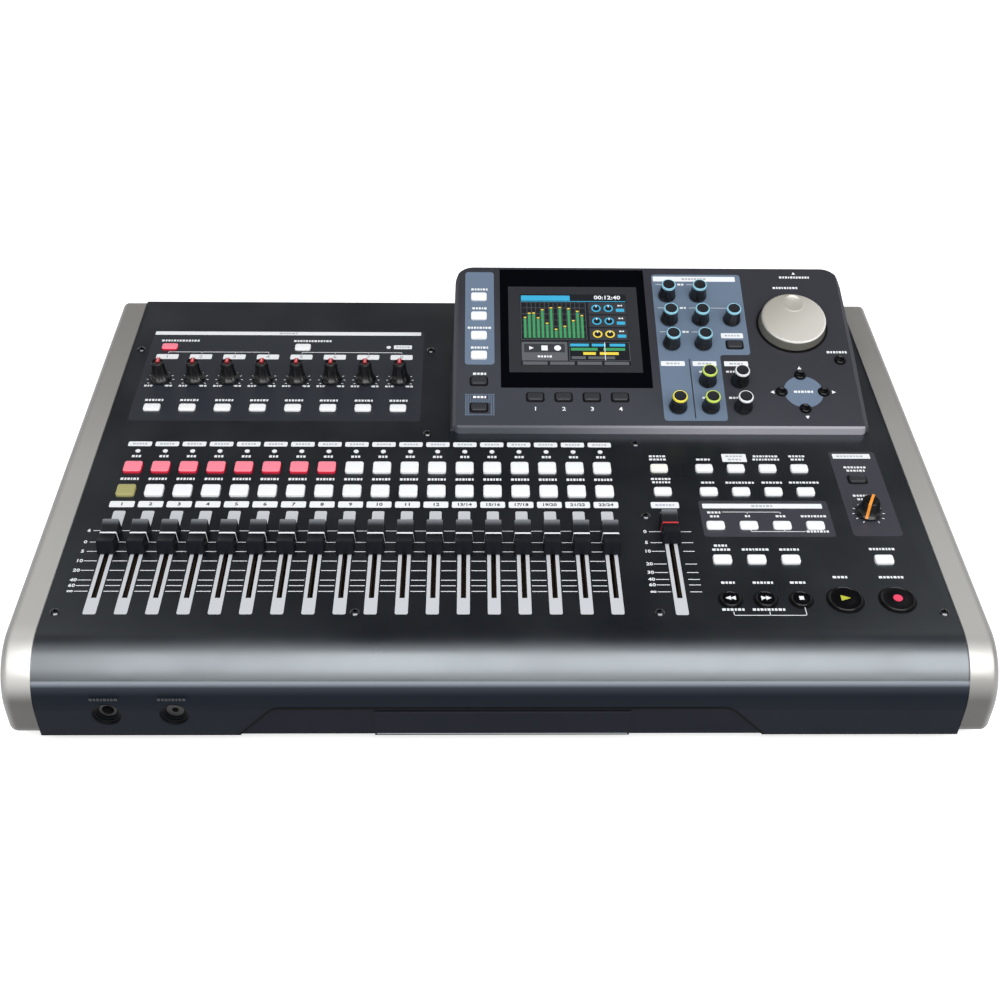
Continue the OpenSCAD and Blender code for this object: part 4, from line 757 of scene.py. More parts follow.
# The side rows take a darker copy of the metal (painted shade), the edge rows a lighter one (painted
# highlight).
dial_rows = np.full(len(dial) - 1, FACE)
dial_rows[:4] = SIDE
dial_rows[4:7] = EDGE
dial_points, dial_faces = turned(dial, 160, dial_rows)
from_dimple = np.hypot(dial_points[:, 0] - dimple_x, dial_points[:, 1] - dimple_t) / dimple_r
lip = 0.3 * np.exp(-((from_dimple - 1.06) / 0.07) ** 2)
hollow = dimple_deep * np.clip(1 - from_dimple ** 2, 0, 1) - lip
dial_points[:, 2] -= np.where(dial_points[:, 2] > dial_top - 0.1, hollow, 0)
dial_shape = join((dial_points, dial_faces), shaft(encoder_shaft, AXLE))
add_piece("jog_dial_turned", on_pod(moved(dial_shape, jog_x, jog_t)),
          ["jog_metal", "lever_metal", "jog_side_painted_shade", "jog_edge"], body="jog_dial",
          replaces=["jog_dial"])
print("jog dial", len(dial_points), "points")

# %% [markdown]
# Keys are moulded caps with a soft edge and a slightly crowned top, joined under the panel by a rubber
# mat. Each group is one piece because the mat moves as one in the solids, and every cap in it is the
# same stack of rounded rectangles repeated at the keys' middles.

# %% Square keys
key_low, key_top, mat_low, mat_high, mat_edge = -3.4, 1.6, -3.45, -2.25, 1.2
strip_key, small_key, dark_key = (10.8, 9.8), (10.4, 6.6), (9.6, 5.8)


def key_cap(size, mat, side=None):
    """A key from under the panel to its top: straight sides, a rounded shoulder and a crown of 0.1 mm."""
    rows = np.full(6, mat)
    rows[:2] = mat if side is None else side
    drops = [(0, 0.75), (0.1, 0.42), (0.3, 0.2), (0.62, 0.1), (1.6, 0.03), (2.8, 0)]
    return soft_block(*size, 1.5, [(0, key_low)] + [(inset, key_top - drop) for inset, drop in drops], rows)


def mat_sheet(size, x0, y0, x1, y1, mat):
    """The thin sheet of a mat under the keys from (x0, y0) to (x1, y1), wider by its edge all round."""
    w, l = np.array(size) + 2 * mat_edge
    sheet = soft_block(x1 - x0 + w, y1 - y0 + l, 1.0, [(0, mat_low), (0, mat_high)], mat)
    return moved(sheet, (x0 + x1) / 2, (y0 + y1) / 2)


def row_of(xs, y):
    """Spots at every x of a row, all with the same y."""
    return np.stack([np.asarray(xs, float), np.full(len(xs), y)], 1)


PLAIN, PINK, OLIVE, SHEET, RED = range(5)
lit = 8
channel_shape = join(
    copies(key_cap(strip_key, PLAIN), np.r_[row_of(strip_x[lit:], arm_y), row_of(strip_x[1:], select_y)]),
    copies(key_cap(strip_key, PINK, RED), row_of(strip_x[:lit], arm_y)),
    copies(key_cap(strip_key, OLIVE), row_of(strip_x[:1], select_y)),
    copies(key_cap(small_key, PLAIN), np.r_[row_of(trim_x, source_y), row_of(trim_x[4:5], supply_y)]),
    copies(key_cap(small_key, PINK, RED), row_of(trim_x[:1], supply_y)),
    mat_sheet(strip_key, strip_x[0], select_y, strip_x[-1], arm_y, SHEET),
    mat_sheet(small_key, trim_x[0], source_y, trim_x[-1], source_y, SHEET),
    *[mat_sheet(small_key, x, supply_y, x, supply_y, SHEET) for x in trim_x[[0, 4]]])
add_piece("channel_key_caps", moved(channel_shape, z=panel_z),
          ["key_white", "key_lit_pink", "key_lit_olive", "key_mat", "key_lit_red"], body="channel_keys",
          replaces=["channel_keys"])
print("channel keys", 2 * len(strip_x) + len(trim_x) + 2)

# %% [markdown]
# The round keys are gloss black with a stepped rim, and carry plain signs in raised ink: arrows, a
# square, a triangle and a dot. The signs are flat outlines carried up by a tenth of a millimetre.

# %% Round keys and function keys


def round_key(r, mat):
    """A turned button: a straight side, a rolled rim, a shallow groove and a low dome."""
    drops = [(r, 0.7), (r - 0.12, 0.35), (r - 0.35, 0.1), (r - 0.6, 0), (r - 0.85, 0.08), (r - 1.05, 0.3),
             (r - 1.5, 0.34), (r * 0.5, 0.2), (0.2, 0.15)]
    return turned([(r, key_low)] + [(out, key_top - drop) for out, drop in drops], 56, mat)


def arrow(size, way=1):
    """A triangle that points along x, as a counter-clockwise outline."""
    tip = np.array([(-0.45, -0.5), (0.5, 0), (-0.45, 0.5)]) * size
    return tip if way > 0 else (tip * [-1, 1])[::-1]


def disc(r, around=32):
    """The circle r (cos a, sin a)."""
    a = np.linspace(0, 2 * np.pi, around, endpoint=False)
    return r * np.stack([np.cos(a), np.sin(a)], 1)


def sign(outline, mat, x=0.0, y=0.0):
    """An outline as a raised sign on a key's dome."""
    return moved(prism(outline, key_top - 0.4, key_top + 0.12, mat), x, y)


WARM, SMOKE, GLOSS, SIGN, UNDER = range(1, 6)
wind_r, large_r = 5.7, 9.3
stop_square = np.array([(-1, -1), (1, -1), (1, 1), (-1, 1)]) * 1.25
grid = np.concatenate([row_of(fn_x, arm_y), row_of(fn_x, select_y), row_of(fn_x, locate_y),
                       row_of(fn_x[:3], edit_y), [(monitor_x, edit_y), (master_x, select_y)]])
wind = row_of(fn_x[:3], transport_y)
function_shape = join(
    copies(key_cap(small_key, PLAIN), grid),
    copies(key_cap(small_key, WARM), [(master_x, arm_y)]),
    copies(key_cap(dark_key, SMOKE), [(monitor_x, monitor_key_y)]),
    copies(round_key(wind_r, GLOSS), wind),
    *[sign(arrow(3.0, way), SIGN, x + d, transport_y) for x, way in zip(fn_x, (-1, 1)) for d in (-1.3, 1.3)],
    sign(stop_square, SIGN, fn_x[2], transport_y),
    mat_sheet(small_key, fn_x[0], edit_y, fn_x[3], arm_y, UNDER),
    mat_sheet(small_key, master_x, select_y, fn_x[0], arm_y, UNDER),
    *[mat_sheet(small_key, monitor_x, y, monitor_x, y, UNDER) for y in (monitor_key_y, edit_y)])
add_piece("function_key_caps", moved(function_shape, z=panel_z),
          ["key_white", "key_lit_warm", "key_dark", "key_black", "ink_white", "key_mat"],
          body="function_keys", replaces=["function_keys"])
BUTTON, INK, BASE = range(3)
large_base = turned([(large_r + mat_edge, mat_low), (large_r + mat_edge, mat_high)], 40, BASE)
for name, x, ink, outline in (("play_key", play_x, "mark_olive", arrow(5.6) * [1, 0.74]),
                              ("record_key", monitor_x, "mark_rose", disc(2.55))):
    shape = join(round_key(large_r, BUTTON), sign(outline, INK), large_base)
    add_piece(name + "_cap", moved(shape, x, transport_y, panel_z), ["key_black", ink, "key_mat"],
              body=name, replaces=[name])
print("function keys", len(grid) + 2, "round keys", len(wind) + 2)

# %% [markdown]
# The pod has a column of white keys, seven dark ones, and five small buttons with a dished top. They lie
# on the slope, so they are laid out flat in the pod's own plane and then turned with it.

# %% Pod keys
WHITE_KEY, DARK_KEY, DISHED_KEY = range(3)
compass = np.radians([0, 90, 180, 270])
cursor = np.stack([jog_x + cursor_reach * np.cos(compass), cursor_t + cursor_reach * np.sin(compass)], 1)
small_keys = np.r_[cursor, [(218.2, 53.4)]]
dark_keys = np.r_[[(column_x, menu_t), (column_x, home_t)], row_of(soft_x, soft_t), [(main_x, tone_t[2])]]
button = turned([(3.25, -4.4), (3.25, 0.8), (3.1, 1.25), (2.75, 1.5), (2.4, 1.5), (2.0, 1.25), (1.3, 1.05),
                 (0.2, 1.0)], 36, DISHED_KEY)
pod_key_shape = join(copies(key_cap(small_key, WHITE_KEY), row_of(column_t, column_x)[:, ::-1]),
                     copies(key_cap(dark_key, DARK_KEY), dark_keys), copies(button, small_keys))
add_piece("pod_key_caps", on_pod(pod_key_shape), ["key_white", "key_dark", "key_black"], body="pod_keys",
          replaces=["pod_keys"])
print("pod keys", len(column_t) + len(dark_keys) + len(small_keys))

# %% [markdown]
# All marks on the panel are silk-screened ink, except the black plates round some keys and round the jog
# dial, which are painted shade in their gaps. Ink is modelled as thin plates, so that it keeps a crisp
# edge from any side and survives export. Labels are rows of plain dashes.

# %% Ink helpers
ink_low, ink_high = -0.05, 0.06
on_field, on_bar = 0.05, 0.1


def plates(rings, mat):
    """Each plate's four corners, counter-clockwise, at both heights of the ink, with six quads round them."""
    points = np.concatenate([np.concatenate([rings, np.full((len(rings), 4, 1), z)], 2)
                             for z in (ink_low, ink_high)], 1)
    quads = np.array([(3, 2, 1, 0), (4, 5, 6, 7), (0, 1, 5, 4), (1, 2, 6, 5), (2, 3, 7, 6), (3, 0, 4, 7)])
    return points.reshape(-1, 3), [((quads + 8 * np.arange(len(rings))[:, None, None]).reshape(-1, 4), mat)]


def ink_boxes(boxes, mat, r=0.0):
    """Plates for rows of (x, y, w, l): corners at (x +- w/2, y +- l/2), rounded when r is given."""
    boxes = np.asarray(boxes, float)
    if r:
        ends = [(0, ink_low), (0, ink_high)]
        return join(*[moved(soft_block(w, l, min(r, w / 2.01, l / 2.01), ends, mat), x, y)
                      for x, y, w, l in boxes])
    ring = np.array([(-1, -1), (1, -1), (1, 1), (-1, 1)]) / 2
    return plates(boxes[:, None, :2] + ring[None] * boxes[:, None, 2:], mat)


def boxes_at(spots, w, l):
    """Rows of (x, y, w, l) for plates of one size."""
    return np.c_[spots, np.full((len(spots), 2), (w, l))]


def ink_disc(r, around, mat, high=ink_high):
    """A round plate."""
    return prism(disc(r, around), ink_low, high, mat)


def line(x0, y0, x1, y1, mat, wide=0.4):
    """A thin straight ink line along x or y."""
    return ink_boxes([((x0 + x1) / 2, (y0 + y1) / 2, abs(x1 - x0) + wide, abs(y1 - y0) + wide)], mat)


def dashes(x, y, width, mat, tall=1.0):
    """A label of blank dashes, centred on (x, y): uneven lengths that share the width, and even gaps."""
    pattern = np.array([1.3, 0.9, 1.1, 0.7, 1.2, 0.8, 1.0, 1.3, 0.9, 1.1, 0.8, 1.2, 1.0, 0.9, 1.2, 0.7])
    count = int(np.clip(round(width / 1.9), 1, len(pattern)))
    gap = 0.6
    long = pattern[:count] * (width - gap * (count - 1)) / pattern[:count].sum()
    left = np.r_[0, np.cumsum(long + gap)[:-1]]
    middle = x - width / 2 + left + long / 2
    return ink_boxes(np.c_[middle, np.full(count, y), long, np.full(count, tall)], mat)


def blanks(rows, mat, tall=1.7):
    """A label for every (x, y, width) of a table."""
    return join(*[dashes(x, y, w, mat, tall) for x, y, w in rows])


print("a label of 10 mm has", len(dashes(0, 0, 10.0, 0)[0]) // 8, "dashes")

# %% [markdown]
# Numbers use Blender's built-in font. A text object is turned into a mesh once, kept, and scaled for each
# use, because the same few digits come back on every strip.

# %% Numbers
glyph_store = {}


def number(text, size, mat):
    """Digits as a flat mesh, centred, with the thickness of ink: points x size, 1.15 times as wide."""
    if text not in glyph_store:
        curve = bpy.data.curves.new("digits", "FONT")
        curve.body, curve.size, curve.extrude, curve.offset = text, 1.0, 0.02, 0.022
        curve.align_x, curve.align_y, curve.resolution_u = "CENTER", "CENTER", 2
        holder = bpy.data.objects.new("digits", curve)
        scene.collection.objects.link(holder)
        bpy.context.view_layer.update()
        mesh = bpy.data.meshes.new_from_object(holder.evaluated_get(bpy.context.evaluated_depsgraph_get()))
        mesh.calc_loop_triangles()
        points, tris = np.empty(len(mesh.vertices) * 3), np.empty(len(mesh.loop_triangles) * 3, int)
        mesh.vertices.foreach_get("co", points)
        mesh.loop_triangles.foreach_get("vertices", tris)
        glyph_store[text] = points.reshape(-1, 3), tris.reshape(-1, 3)
        bpy.data.objects.remove(holder)
        bpy.data.meshes.remove(mesh)
    points, tris = glyph_store[text]
    points = points * [1.15 * size, size, 1]
    points[:, 2] = np.where(points[:, 2] > 0, ink_high + 0.04, ink_low)
    return points, [(tris, mat)]


def numbers(texts, spots, size, mat):
    """Each text at its spot."""
    return join(*[moved(number(t, size, mat), x, y) for t, (x, y) in zip(texts, spots)])


print("digits of 8 have", len(number("8", 1.0, 0)[0]), "points")

# %% [markdown]
# The channel strips: a pale strip behind each fader slot with its scale, a number bar, and small blanks
# over the keys. Everything repeats with the strip spacing, so each mark is one array of boxes.

# %% Channel strip print
INKS = ["ink_white", "ink_grey", "ink_strip", "ink_blue", "ink_slate", "dark_ink_and_painted_light", "ink_steel", "black_ink_and_gap_shade"]
WHITE, GREY, PALE, BLUE, SLATE, DARK, STEEL, BLACK = range(len(INKS))
strip_top, strip_end, slot_wide, slot_end = -49.2, -132.6, 2.8, -120.3
number_y, top_bar_y, lamp_y, tick_wide, scale_size = -43.3, 13.1, 6.0, 0.45, 3.3
scale = dict(zip(["6", "0", "5", "10", "20", "40", "60", "∞"],
                 [-66.3, -75.9, -83.6, -91.3, -98.9, -106.5, -110.8, -115.2]))


def slot_strip(x, end, slot_top, wide=6.9):
    """A pale strip with its slot left open: two sides, and two end blocks with round corners."""
    side, lap = (wide - slot_wide - 0.06) / 2, 1.2
    offset = (wide - side) / 2
    mid, long = (slot_top + slot_end) / 2, slot_top - slot_end + 2 * lap
    return join(raised(0.004, ink_boxes([(x + d, mid, side, long) for d in (-offset, offset)], PALE)),
                ink_boxes([(x, (strip_top + slot_top) / 2, wide, strip_top - slot_top),
                           (x, (end + slot_end) / 2, wide, slot_end - end)], PALE, 1.0))


ticks = np.array([(x, y, 8.0, tick_wide) for x in (strip_x[:-1] + strip_x[1:]) / 2 for y in scale.values()]
                 + [(strip_x[0] - 7.9, y, 7.2, tick_wide) for y in scale.values()])
labels = [str(i) for i in range(1, 13)] + [f"{i}/{i + 1}" for i in range(13, 24, 2)]
strip_print = join(
    *[slot_strip(x, strip_end, -62.0) for x in strip_x],
    ink_boxes(ticks, WHITE),
    numbers(scale, [(strip_x[0] - 13.8, y) for y in scale.values()], scale_size, WHITE),
    ink_boxes(boxes_at(row_of(strip_x, number_y), 14.3, 5.4), WHITE, 0.9),
    *[moved(number(t, 3.6 if len(t) < 3 else 3.3, STEEL), x, number_y, 0.08)
      for t, x in zip(labels, strip_x)],
    ink_boxes(boxes_at(row_of(strip_x, top_bar_y), 14.2, 4.5), WHITE, 0.9),
    raised(on_field, blanks([(x, top_bar_y, 8.6) for x in strip_x], GREY, 1.5)),
    copies(ink_disc(1.5, 16, WHITE, 0.35), row_of(strip_x, lamp_y)),
    blanks([(x, 1.1, 5.4) for x in strip_x], WHITE, 2.0),
    blanks([(x, -20.3, 10.6) for x in strip_x], WHITE, 2.0))
add_piece("channel_strip_print", moved(strip_print, z=panel_z), INKS)
print("strip marks", len(ticks))

# %% Master strip print
master_scale = dict(zip(["0", "5", "10", "20", "30", "40", "60", "∞"],
                        [-66.5, -75.8, -83.0, -93.4, -100.2, -105.7, -110.0, -115.4]))
master_ticks = [(x, y, w, tick_wide) for x, w in ((87.6, 7.2), (104.8, 6.4)) for y in master_scale.values()]
master_print = join(
    slot_strip(master_x, -133.0, -62.8),
    ink_boxes(master_ticks, WHITE),
    numbers(master_scale, [(81.7, y) for y in master_scale.values()], scale_size, WHITE),
    ink_boxes([(master_x, number_y, 16.3, 5.4)], WHITE, 0.9),
    raised(on_field, dashes(master_x, number_y, 11, GREY, 1.6)),
    blanks([(master_x, y, w) for y, w in ((2.2, 9.8), (-0.9, 10.1), (-19.4, 11.5), (-22.5, 10.6))], WHITE))
add_piece("master_strip_print", moved(master_print, z=panel_z), INKS)
print("master marks", len(master_ticks))

# %% [markdown]
# The input section is a lighter printed field with a title bar, numbered bars over the knobs, a ring of
# small ticks round each knob and short dashes for its two ends.

# %% Input section print


def dial_ticks(x, y, inner, outer, mat, count=11, sweep=150):
    """Radial ticks from -sweep to +sweep degrees off the rear, as turned plates."""
    a = np.radians(np.linspace(-sweep, sweep, count))
    out, side = np.stack([np.sin(a), np.cos(a)], 1), np.stack([np.cos(a), -np.sin(a)], 1) * 0.25
    ends = [out * inner - side, out * inner + side, out * outer + side, out * outer - side]
    return plates(np.stack(ends, 1) + [x, y], mat)


bar_y, bus_y = 106.5, 112.0
title_spot, note_spot = (-140.2, 134.4), (-62.6, 118.5)
input_print = join(
    ink_boxes([(-139.3, 87.0, 181.4, 100.9)], SLATE, 2.0),
    raised(
        on_field,
        ink_boxes([(*title_spot, 178.5, 4.0)], WHITE, 0.5),
        ink_boxes(boxes_at(row_of(trim_x, bar_y), 14.5, 5.5), WHITE, 0.9),
        *[dial_ticks(x, trim_y, 7.6, 8.8, WHITE) for x in trim_x],
        blanks([(x + d, 73.6, w) for x in trim_x for d, w in ((-6.6, 5.2), (6.3, 4.4))], WHITE),
        blanks([(x, 58.1, 11.4) for x in trim_x], WHITE, 2.0),
        blanks([(trim_x[i] + 5.8, 125.4, 25.0) for i in (0, 4)], WHITE, 2.1),
        ink_boxes([(*note_spot, 12.0, 4.4)], WHITE, 0.5),
        ink_boxes(boxes_at(row_of(trim_x, bus_y - 0.6), 0.4, 1.4), WHITE),
        *[line(trim_x[i], bus_y, trim_x[i + 3], bus_y, WHITE, 0.5) for i in (0, 4)],
        moved(ink_disc(1.5, 16, WHITE, 0.3), -72.0, 118.0)),
    raised(0.12, dashes(*title_spot, 12, GREY, 1.6), dashes(*note_spot, 9.0, GREY, 1.5),
           numbers("12345678", row_of(trim_x, bar_y), 4.4, GREY)))
add_piece("input_section_print", moved(input_print, z=panel_z), INKS)
print("input bars", len(trim_x))

# %% [markdown]
# The right-hand side has a blank over every function key, two lighter fields, thin lines that tie keys
# together, and a black surround for each round key. Its labels follow the key columns.

# %% Right-hand print
label_x = fn_x + 0.5
over_keys = [(0, -0.8, 8.2), (2, 2.4, 14.9), (2, -0.7, 16.2), (3, 2.5, 9.7), (3, -0.6, 7.9), (0, -22.7, 7.7),
             (1, -22.7, 16.8), (2, -22.6, 12.1), (3, -22.5, 17.6), (0, -78.2, 7.3), (0, -81.5, 10.0),
             (1, -81.4, 15.0), (2, -81.4, 11.0), (0, -108.2, 7.4), (1, -108.2, 11.1), (2, -108.1, 8.4),
             (0, -128.9, 11.9), (1, -128.9, 17.4)]
in_locate = [(0, -49.8, 7.6), (0, -53.2, 5.2), (1, -53.0, 2.9), (2, -53.0, 5.6), (3, -53.0, 14.6),
             (3, -66.2, 12.6)]
in_monitor = [(213.4, -8.1, 13.2), (213.4, -11.2, 10.9), (211.4, -34.5, 9.1), (211.5, -37.8, 5.3)]
tie_x, upper_tie, lower_tie, wind_tie = (142.3, 161.4), -49.4, -66.3, -133.2
function_print = join(
    ink_boxes([(152.6, -55.0, 75.0, 31.4), (214.2, -31.5, 28.2, 77.0)], STEEL, 2.0),
    blanks([(label_x[k], y, w) for k, y, w in over_keys], WHITE),
    blanks([(213.3, -80.9, 14.3), (185.1, -103.8, 8.0), (213.3, -103.8, 13.5)], WHITE),
    ink_boxes([(label_x[1], 0.8, 14.8, 7.6)], WHITE, 0.5),
    copies(ink_disc(6.9, 40, BLACK, 0.03), wind),
    copies(ink_disc(10.4, 48, BLACK, 0.03), row_of((play_x, monitor_x), transport_y)),
    raised(
        on_field,
        ink_boxes([(151.9, -44.1, 69.6, 4.1), (213.6, 2.6, 22.9, 4.5)], WHITE, 0.5),
        # A black plate round the monitor key is painted shade in its gap.
        ink_boxes([(monitor_x, monitor_key_y, 11.9, 8.1)], BLACK, 1.8),
        blanks([(label_x[k], y, w) for k, y, w in in_locate] + in_monitor, WHITE),
        blanks([(label_x[1], 2.3, 10.0), (label_x[1], -0.8, 8.0)], GREY, 1.5),
        dial_ticks(monitor_x, monitor_y, 8.0, 9.4, WHITE),
        line(128.0, upper_tie, tie_x[1], upper_tie, WHITE),
        line(tie_x[0], lower_tie, 173.0, lower_tie, WHITE),
        *[line(x, tie, x, end, WHITE) for tie, end in ((upper_tie, -50.6), (lower_tie, -65.0))
          for x in tie_x]),
    raised(on_bar, dashes(151.7, -44.1, 12.3, GREY, 1.6), dashes(212.6, 2.6, 16, GREY, 1.5)),
    line(123.0, wind_tie, 161.6, wind_tie, WHITE),
    *[line(x, wind_tie, x, end, WHITE) for x, end in ((123.0, -130.7), (142.2, -130.7), (161.6, -127.4))])
add_piece("function_print", moved(function_print, z=panel_z), INKS)
print("function marks", len(over_keys) + len(in_locate))

# %% [markdown]
# The pod's print follows its slope: a blue-grey key field, a field round the encoders shaped like a flag
# and small signs. The same plates are laid out flat and then turned with the pod.

# %% Pod fields


def rounded_polygon(corners, r, arc=4):
    """Every corner c becomes a quadratic curve (1-u)^2 a + 2u(1-u) c + u^2 b, with a and b at r from c."""
    corners = np.asarray(corners, float)
    sides = [np.roll(corners, step, 0) - corners for step in (1, -1)]
    a, b = [(corners + side / np.linalg.norm(side, axis=1, keepdims=True) * r)[:, None] for side in sides]
    u = np.linspace(0, 1, arc + 1)[None, :, None]
    return ((1 - u) ** 2 * a + 2 * u * (1 - u) * corners[:, None] + u ** 2 * b).reshape(-1, 2)


def clear_of(dots, x, t, half_x, half_t):
    """The dots that lie outside a box about (x, t)."""
    return dots[(np.abs(dots[:, 0] - x) > half_x) | (np.abs(dots[:, 1] - t) > half_t)]


encoder_field = rounded_polygon([(102.4, 4.7), (141.7, 4.7), (141.7, 57.3), (161.4, 57.4), (161.4, 126.4),
                                 (102.4, 126.4)], 2.4)
home_label_t = 22.6
dots = np.stack(np.meshgrid(np.linspace(-20.2, -3.0, 13), np.linspace(8.9, 24.6, 12)), -1).reshape(-1, 2)
dots = clear_of(clear_of(dots, column_x, home_t, 6.4, 4.4), column_x, home_label_t, 5.2, 1.6)
pod_fields = join(
    ink_boxes([(-11.6, 88.2, 18.8, 79.0)], BLUE, 2.0),
    prism(encoder_field, ink_low, ink_high, BLUE),
    ink_boxes([(-11.6, 16.7, 18.6, 17.4)], STEEL, 1.0),
    raised(0.04, ink_boxes(boxes_at(dots, 0.98, 0.98), BLUE)),
    moved(ink_disc(12.4, 56, BLUE), jog_x + 0.6, cursor_t),
    # A black ring round the jog and black plates round the dark keys and small buttons: painted shade in
    # their gaps.
    moved(ink_disc(23.2, 80, BLACK, 0.03), jog_x, jog_t),
    raised(on_field, ink_boxes(boxes_at(dark_keys, 11.6, 7.8), BLACK, 1.8),
           copies(ink_disc(3.9, 28, BLACK), small_keys)))
print("dots round the home key", len(dots))

# %% Pod print
row_t, group_x, group_t, tone_bar = tone_t + 10.7, (111.0, 131.2, 151.3), 50.1, (151.1, 73.4)
short_lines = [(x0, t, x1) for t in row_t for x0, x1 in ((105.0, 110.2), (125.5, 130.3))]
short_lines.append((139.5, row_t[1], 150.9))
column_labels = [(-11.7, 112.3, 10.7), (-11.7, 95.8, 9.3), (-11.8, 79.2, 15.0), (-11.7, 62.6, 11.0),
                 (-11.7, 41.2, 8.3), (-11.7, home_label_t, 8.2)]
send_labels = [(147.2, 43.6, 5.8), (147.2, 22.7, 6.2), (128.7, 43.5, 2.8), (128.7, 22.6, 2.8)]
up_turn, down_turn = np.array([[0, 1], [-1, 0]]), np.array([[0, -1], [1, 0]])
pod_print = join(
    pod_fields,
    raised(
        on_field,
        blanks(column_labels + [(jog_x + 0.5, cursor_t, 12.0)], WHITE),
        ink_boxes([(130.7, 122.4, 54.6, 4.3)] + [(x, group_t, 15.2, 3.9) for x in group_x]
                  + [(*tone_bar, 14.2, 4.2)], WHITE, 0.5),
        ink_boxes([(121.8, 30.3, 0.7, 47.4)], DARK),
        *[line(x0, t, x1, t, WHITE, 0.3) for x0, t, x1 in short_lines],
        blanks([(121.3, t, 4.0) for t in row_t] + send_labels, WHITE, 1.5)),
    raised(on_bar, blanks([(x, group_t, 8.5) for x in group_x] + [(*tone_bar, 9.5)], GREY, 1.4),
           dashes(130.5, 122.4, 16, GREY, 1.6)),
    numbers("1234", row_of(soft_x, 13.5), 4.0, WHITE),
    *[moved(prism(outline, ink_low, ink_high, WHITE), x, t) for outline, x, t in (
        (arrow(2.6), 210.5, 27.5), (arrow(2.6, -1), 171.8, 27.4), (arrow(2.6) @ up_turn, 191.2, 47.0),
        (arrow(2.6) @ down_turn, 191.4, 7.6), (arrow(2.3) @ up_turn, 197.7, 128.0))],
    blanks([(197.8, 124.4, 20.0), (190.6, 115.0, 16.4), (217.0, 60.0, 12.8)], WHITE))
add_piece("pod_print", on_pod(pod_print), INKS)
print("pod lines", len(short_lines))

# %% [markdown]
# The display shows a plain page of its own design: level bars, small dials, a time counter and four tabs.
# It is a thin stack of plates that glow a little, lying on the window.

# %% Display picture
SCREEN = ["display_bezel", "screen_dark", "screen_cyan", "screen_green", "screen_amber", "screen_grey",
          "screen_white", "screen_slate"]
BEZEL, NIGHT, CYAN, GREEN, AMBER, FRAME, BRIGHT, TILE = range(len(SCREEN))
meters, level_base = 17.8 + 2.85 * np.arange(14), 70.8
heights = 5.0 + 20.0 * np.abs(np.sin(1.7 * np.arange(14) + 0.6))
grid_t, row_h = np.array([75.6, 80.8, 86.0, 91.2, 96.4]), np.array([96.2, 85.2, 74.2])
dials = np.array([(x, t) for t in row_h for x in (64.4, 72.4)])
tabs = np.array([23.6, 40.8, 58.2, 75.4])
clips = {CYAN: (65.0, [(52.3, 12), (64.6, 9), (76.6, 10)]), GREEN: (61.5, [(55.2, 17), (74.4, 14)]),
         AMBER: (58.0, [(58.4, 8), (71.0, 12)]), FRAME: (54.5, [(51.4, 9), (66.0, 17)])}
transport_t, tag_x = 62.4, 80.0
screen_shape = join(
    ink_boxes([(window_x, 78.8, 84.6, 72.4)], BEZEL, 0.4),
    raised(0.06, ink_boxes([(49.5, 78.3, 69.6, 60.0)], NIGHT)),
    raised(0.09, ink_boxes([(36.3, 85.2, 42.4, 31.8), (29.8, 59.8, 29.2, 15.4), (64.9, 59.8, 38.8, 15.4)],
                           FRAME),
           ink_boxes(boxes_at(row_of(tabs, 50.0), 15.6, 2.6), FRAME),
           ink_boxes([(71.6, t, 24.6, 9.8) for t in row_h], TILE),
           ink_boxes([(31.5, 105.0, 32.0, 4.4), (49.5, 102.2, 68.6, 0.5)], CYAN)),
    raised(0.11, ink_boxes([(36.3, 85.2, 41.8, 31.2), (64.9, 59.8, 38.2, 14.8)], NIGHT),
           ink_boxes([(29.8, transport_t, 26.0, 7.0)], TILE)),
    raised(0.13, ink_boxes([(36.3, t, 41.0, 0.3) for t in grid_t], FRAME),
           ink_boxes([(x + 1.42, 85.2, 0.25, 30.6) for x in meters[:-1]], FRAME)),
    raised(0.16, ink_boxes([(x, level_base + h / 2, 1.7, h) for x, h in zip(meters, heights)], GREEN),
           ink_boxes([(x, level_base + h + 1.0, 1.7, 1.0) for x, h in zip(meters, heights)], AMBER),
           copies(ink_disc(3.1, 24, CYAN), dials[:4]), copies(ink_disc(3.1, 24, AMBER), dials[4:]),
           ink_boxes([(tag_x, t - 1.6, 5.4, 2.6) for t in row_h], CYAN),
           *[ink_boxes([(x, t, w, 2.2) for x, w in row], ink) for ink, (t, row) in clips.items()]),
    raised(0.2, copies(ink_disc(2.1, 24, NIGHT), dials),
           blanks([(tag_x, t + 2.4, 3) for t in row_h], BRIGHT, 1.1),
           ink_boxes([(68.4, 59.8, 0.4, 14.6), (29.8, transport_t, 4.0, 4.0)], BRIGHT),
           dashes(29.8, 55.4, 9, BRIGHT, 1.5),
           moved(prism(arrow(3.0), ink_low, ink_high, BRIGHT), 21.4, transport_t),
           moved(ink_disc(2.2, 24, BRIGHT), 38.2, transport_t),
           moved(number("00:12:40", 4.4, BRIGHT), 72.0, 105.4)),
    raised(0.24, copies(ink_boxes([(0, 1.8, 0.7, 1.7)], BRIGHT), dials)))
add_piece("display_picture", on_pod(screen_shape), SCREEN)
print("display meters", len(meters), "dials", len(dials))

# %% [markdown]
# The fascia carries a sunk field with a painted shadow line along its outline, a plate with a painted
# highlight along its lower edge, and two stepped jack collars. On the real moulding these are one shape;
# thin strips and rings on its front plane show the same edges.

# %% Front edges and jack collars


def on_front(shape):
    """From the fascia's plane (x, height, out) to the frame: a quarter turn about x, then to the front."""
    x, h, n = shape[0].T
    return np.stack([x, front_y - n, h], 1), shape[1]


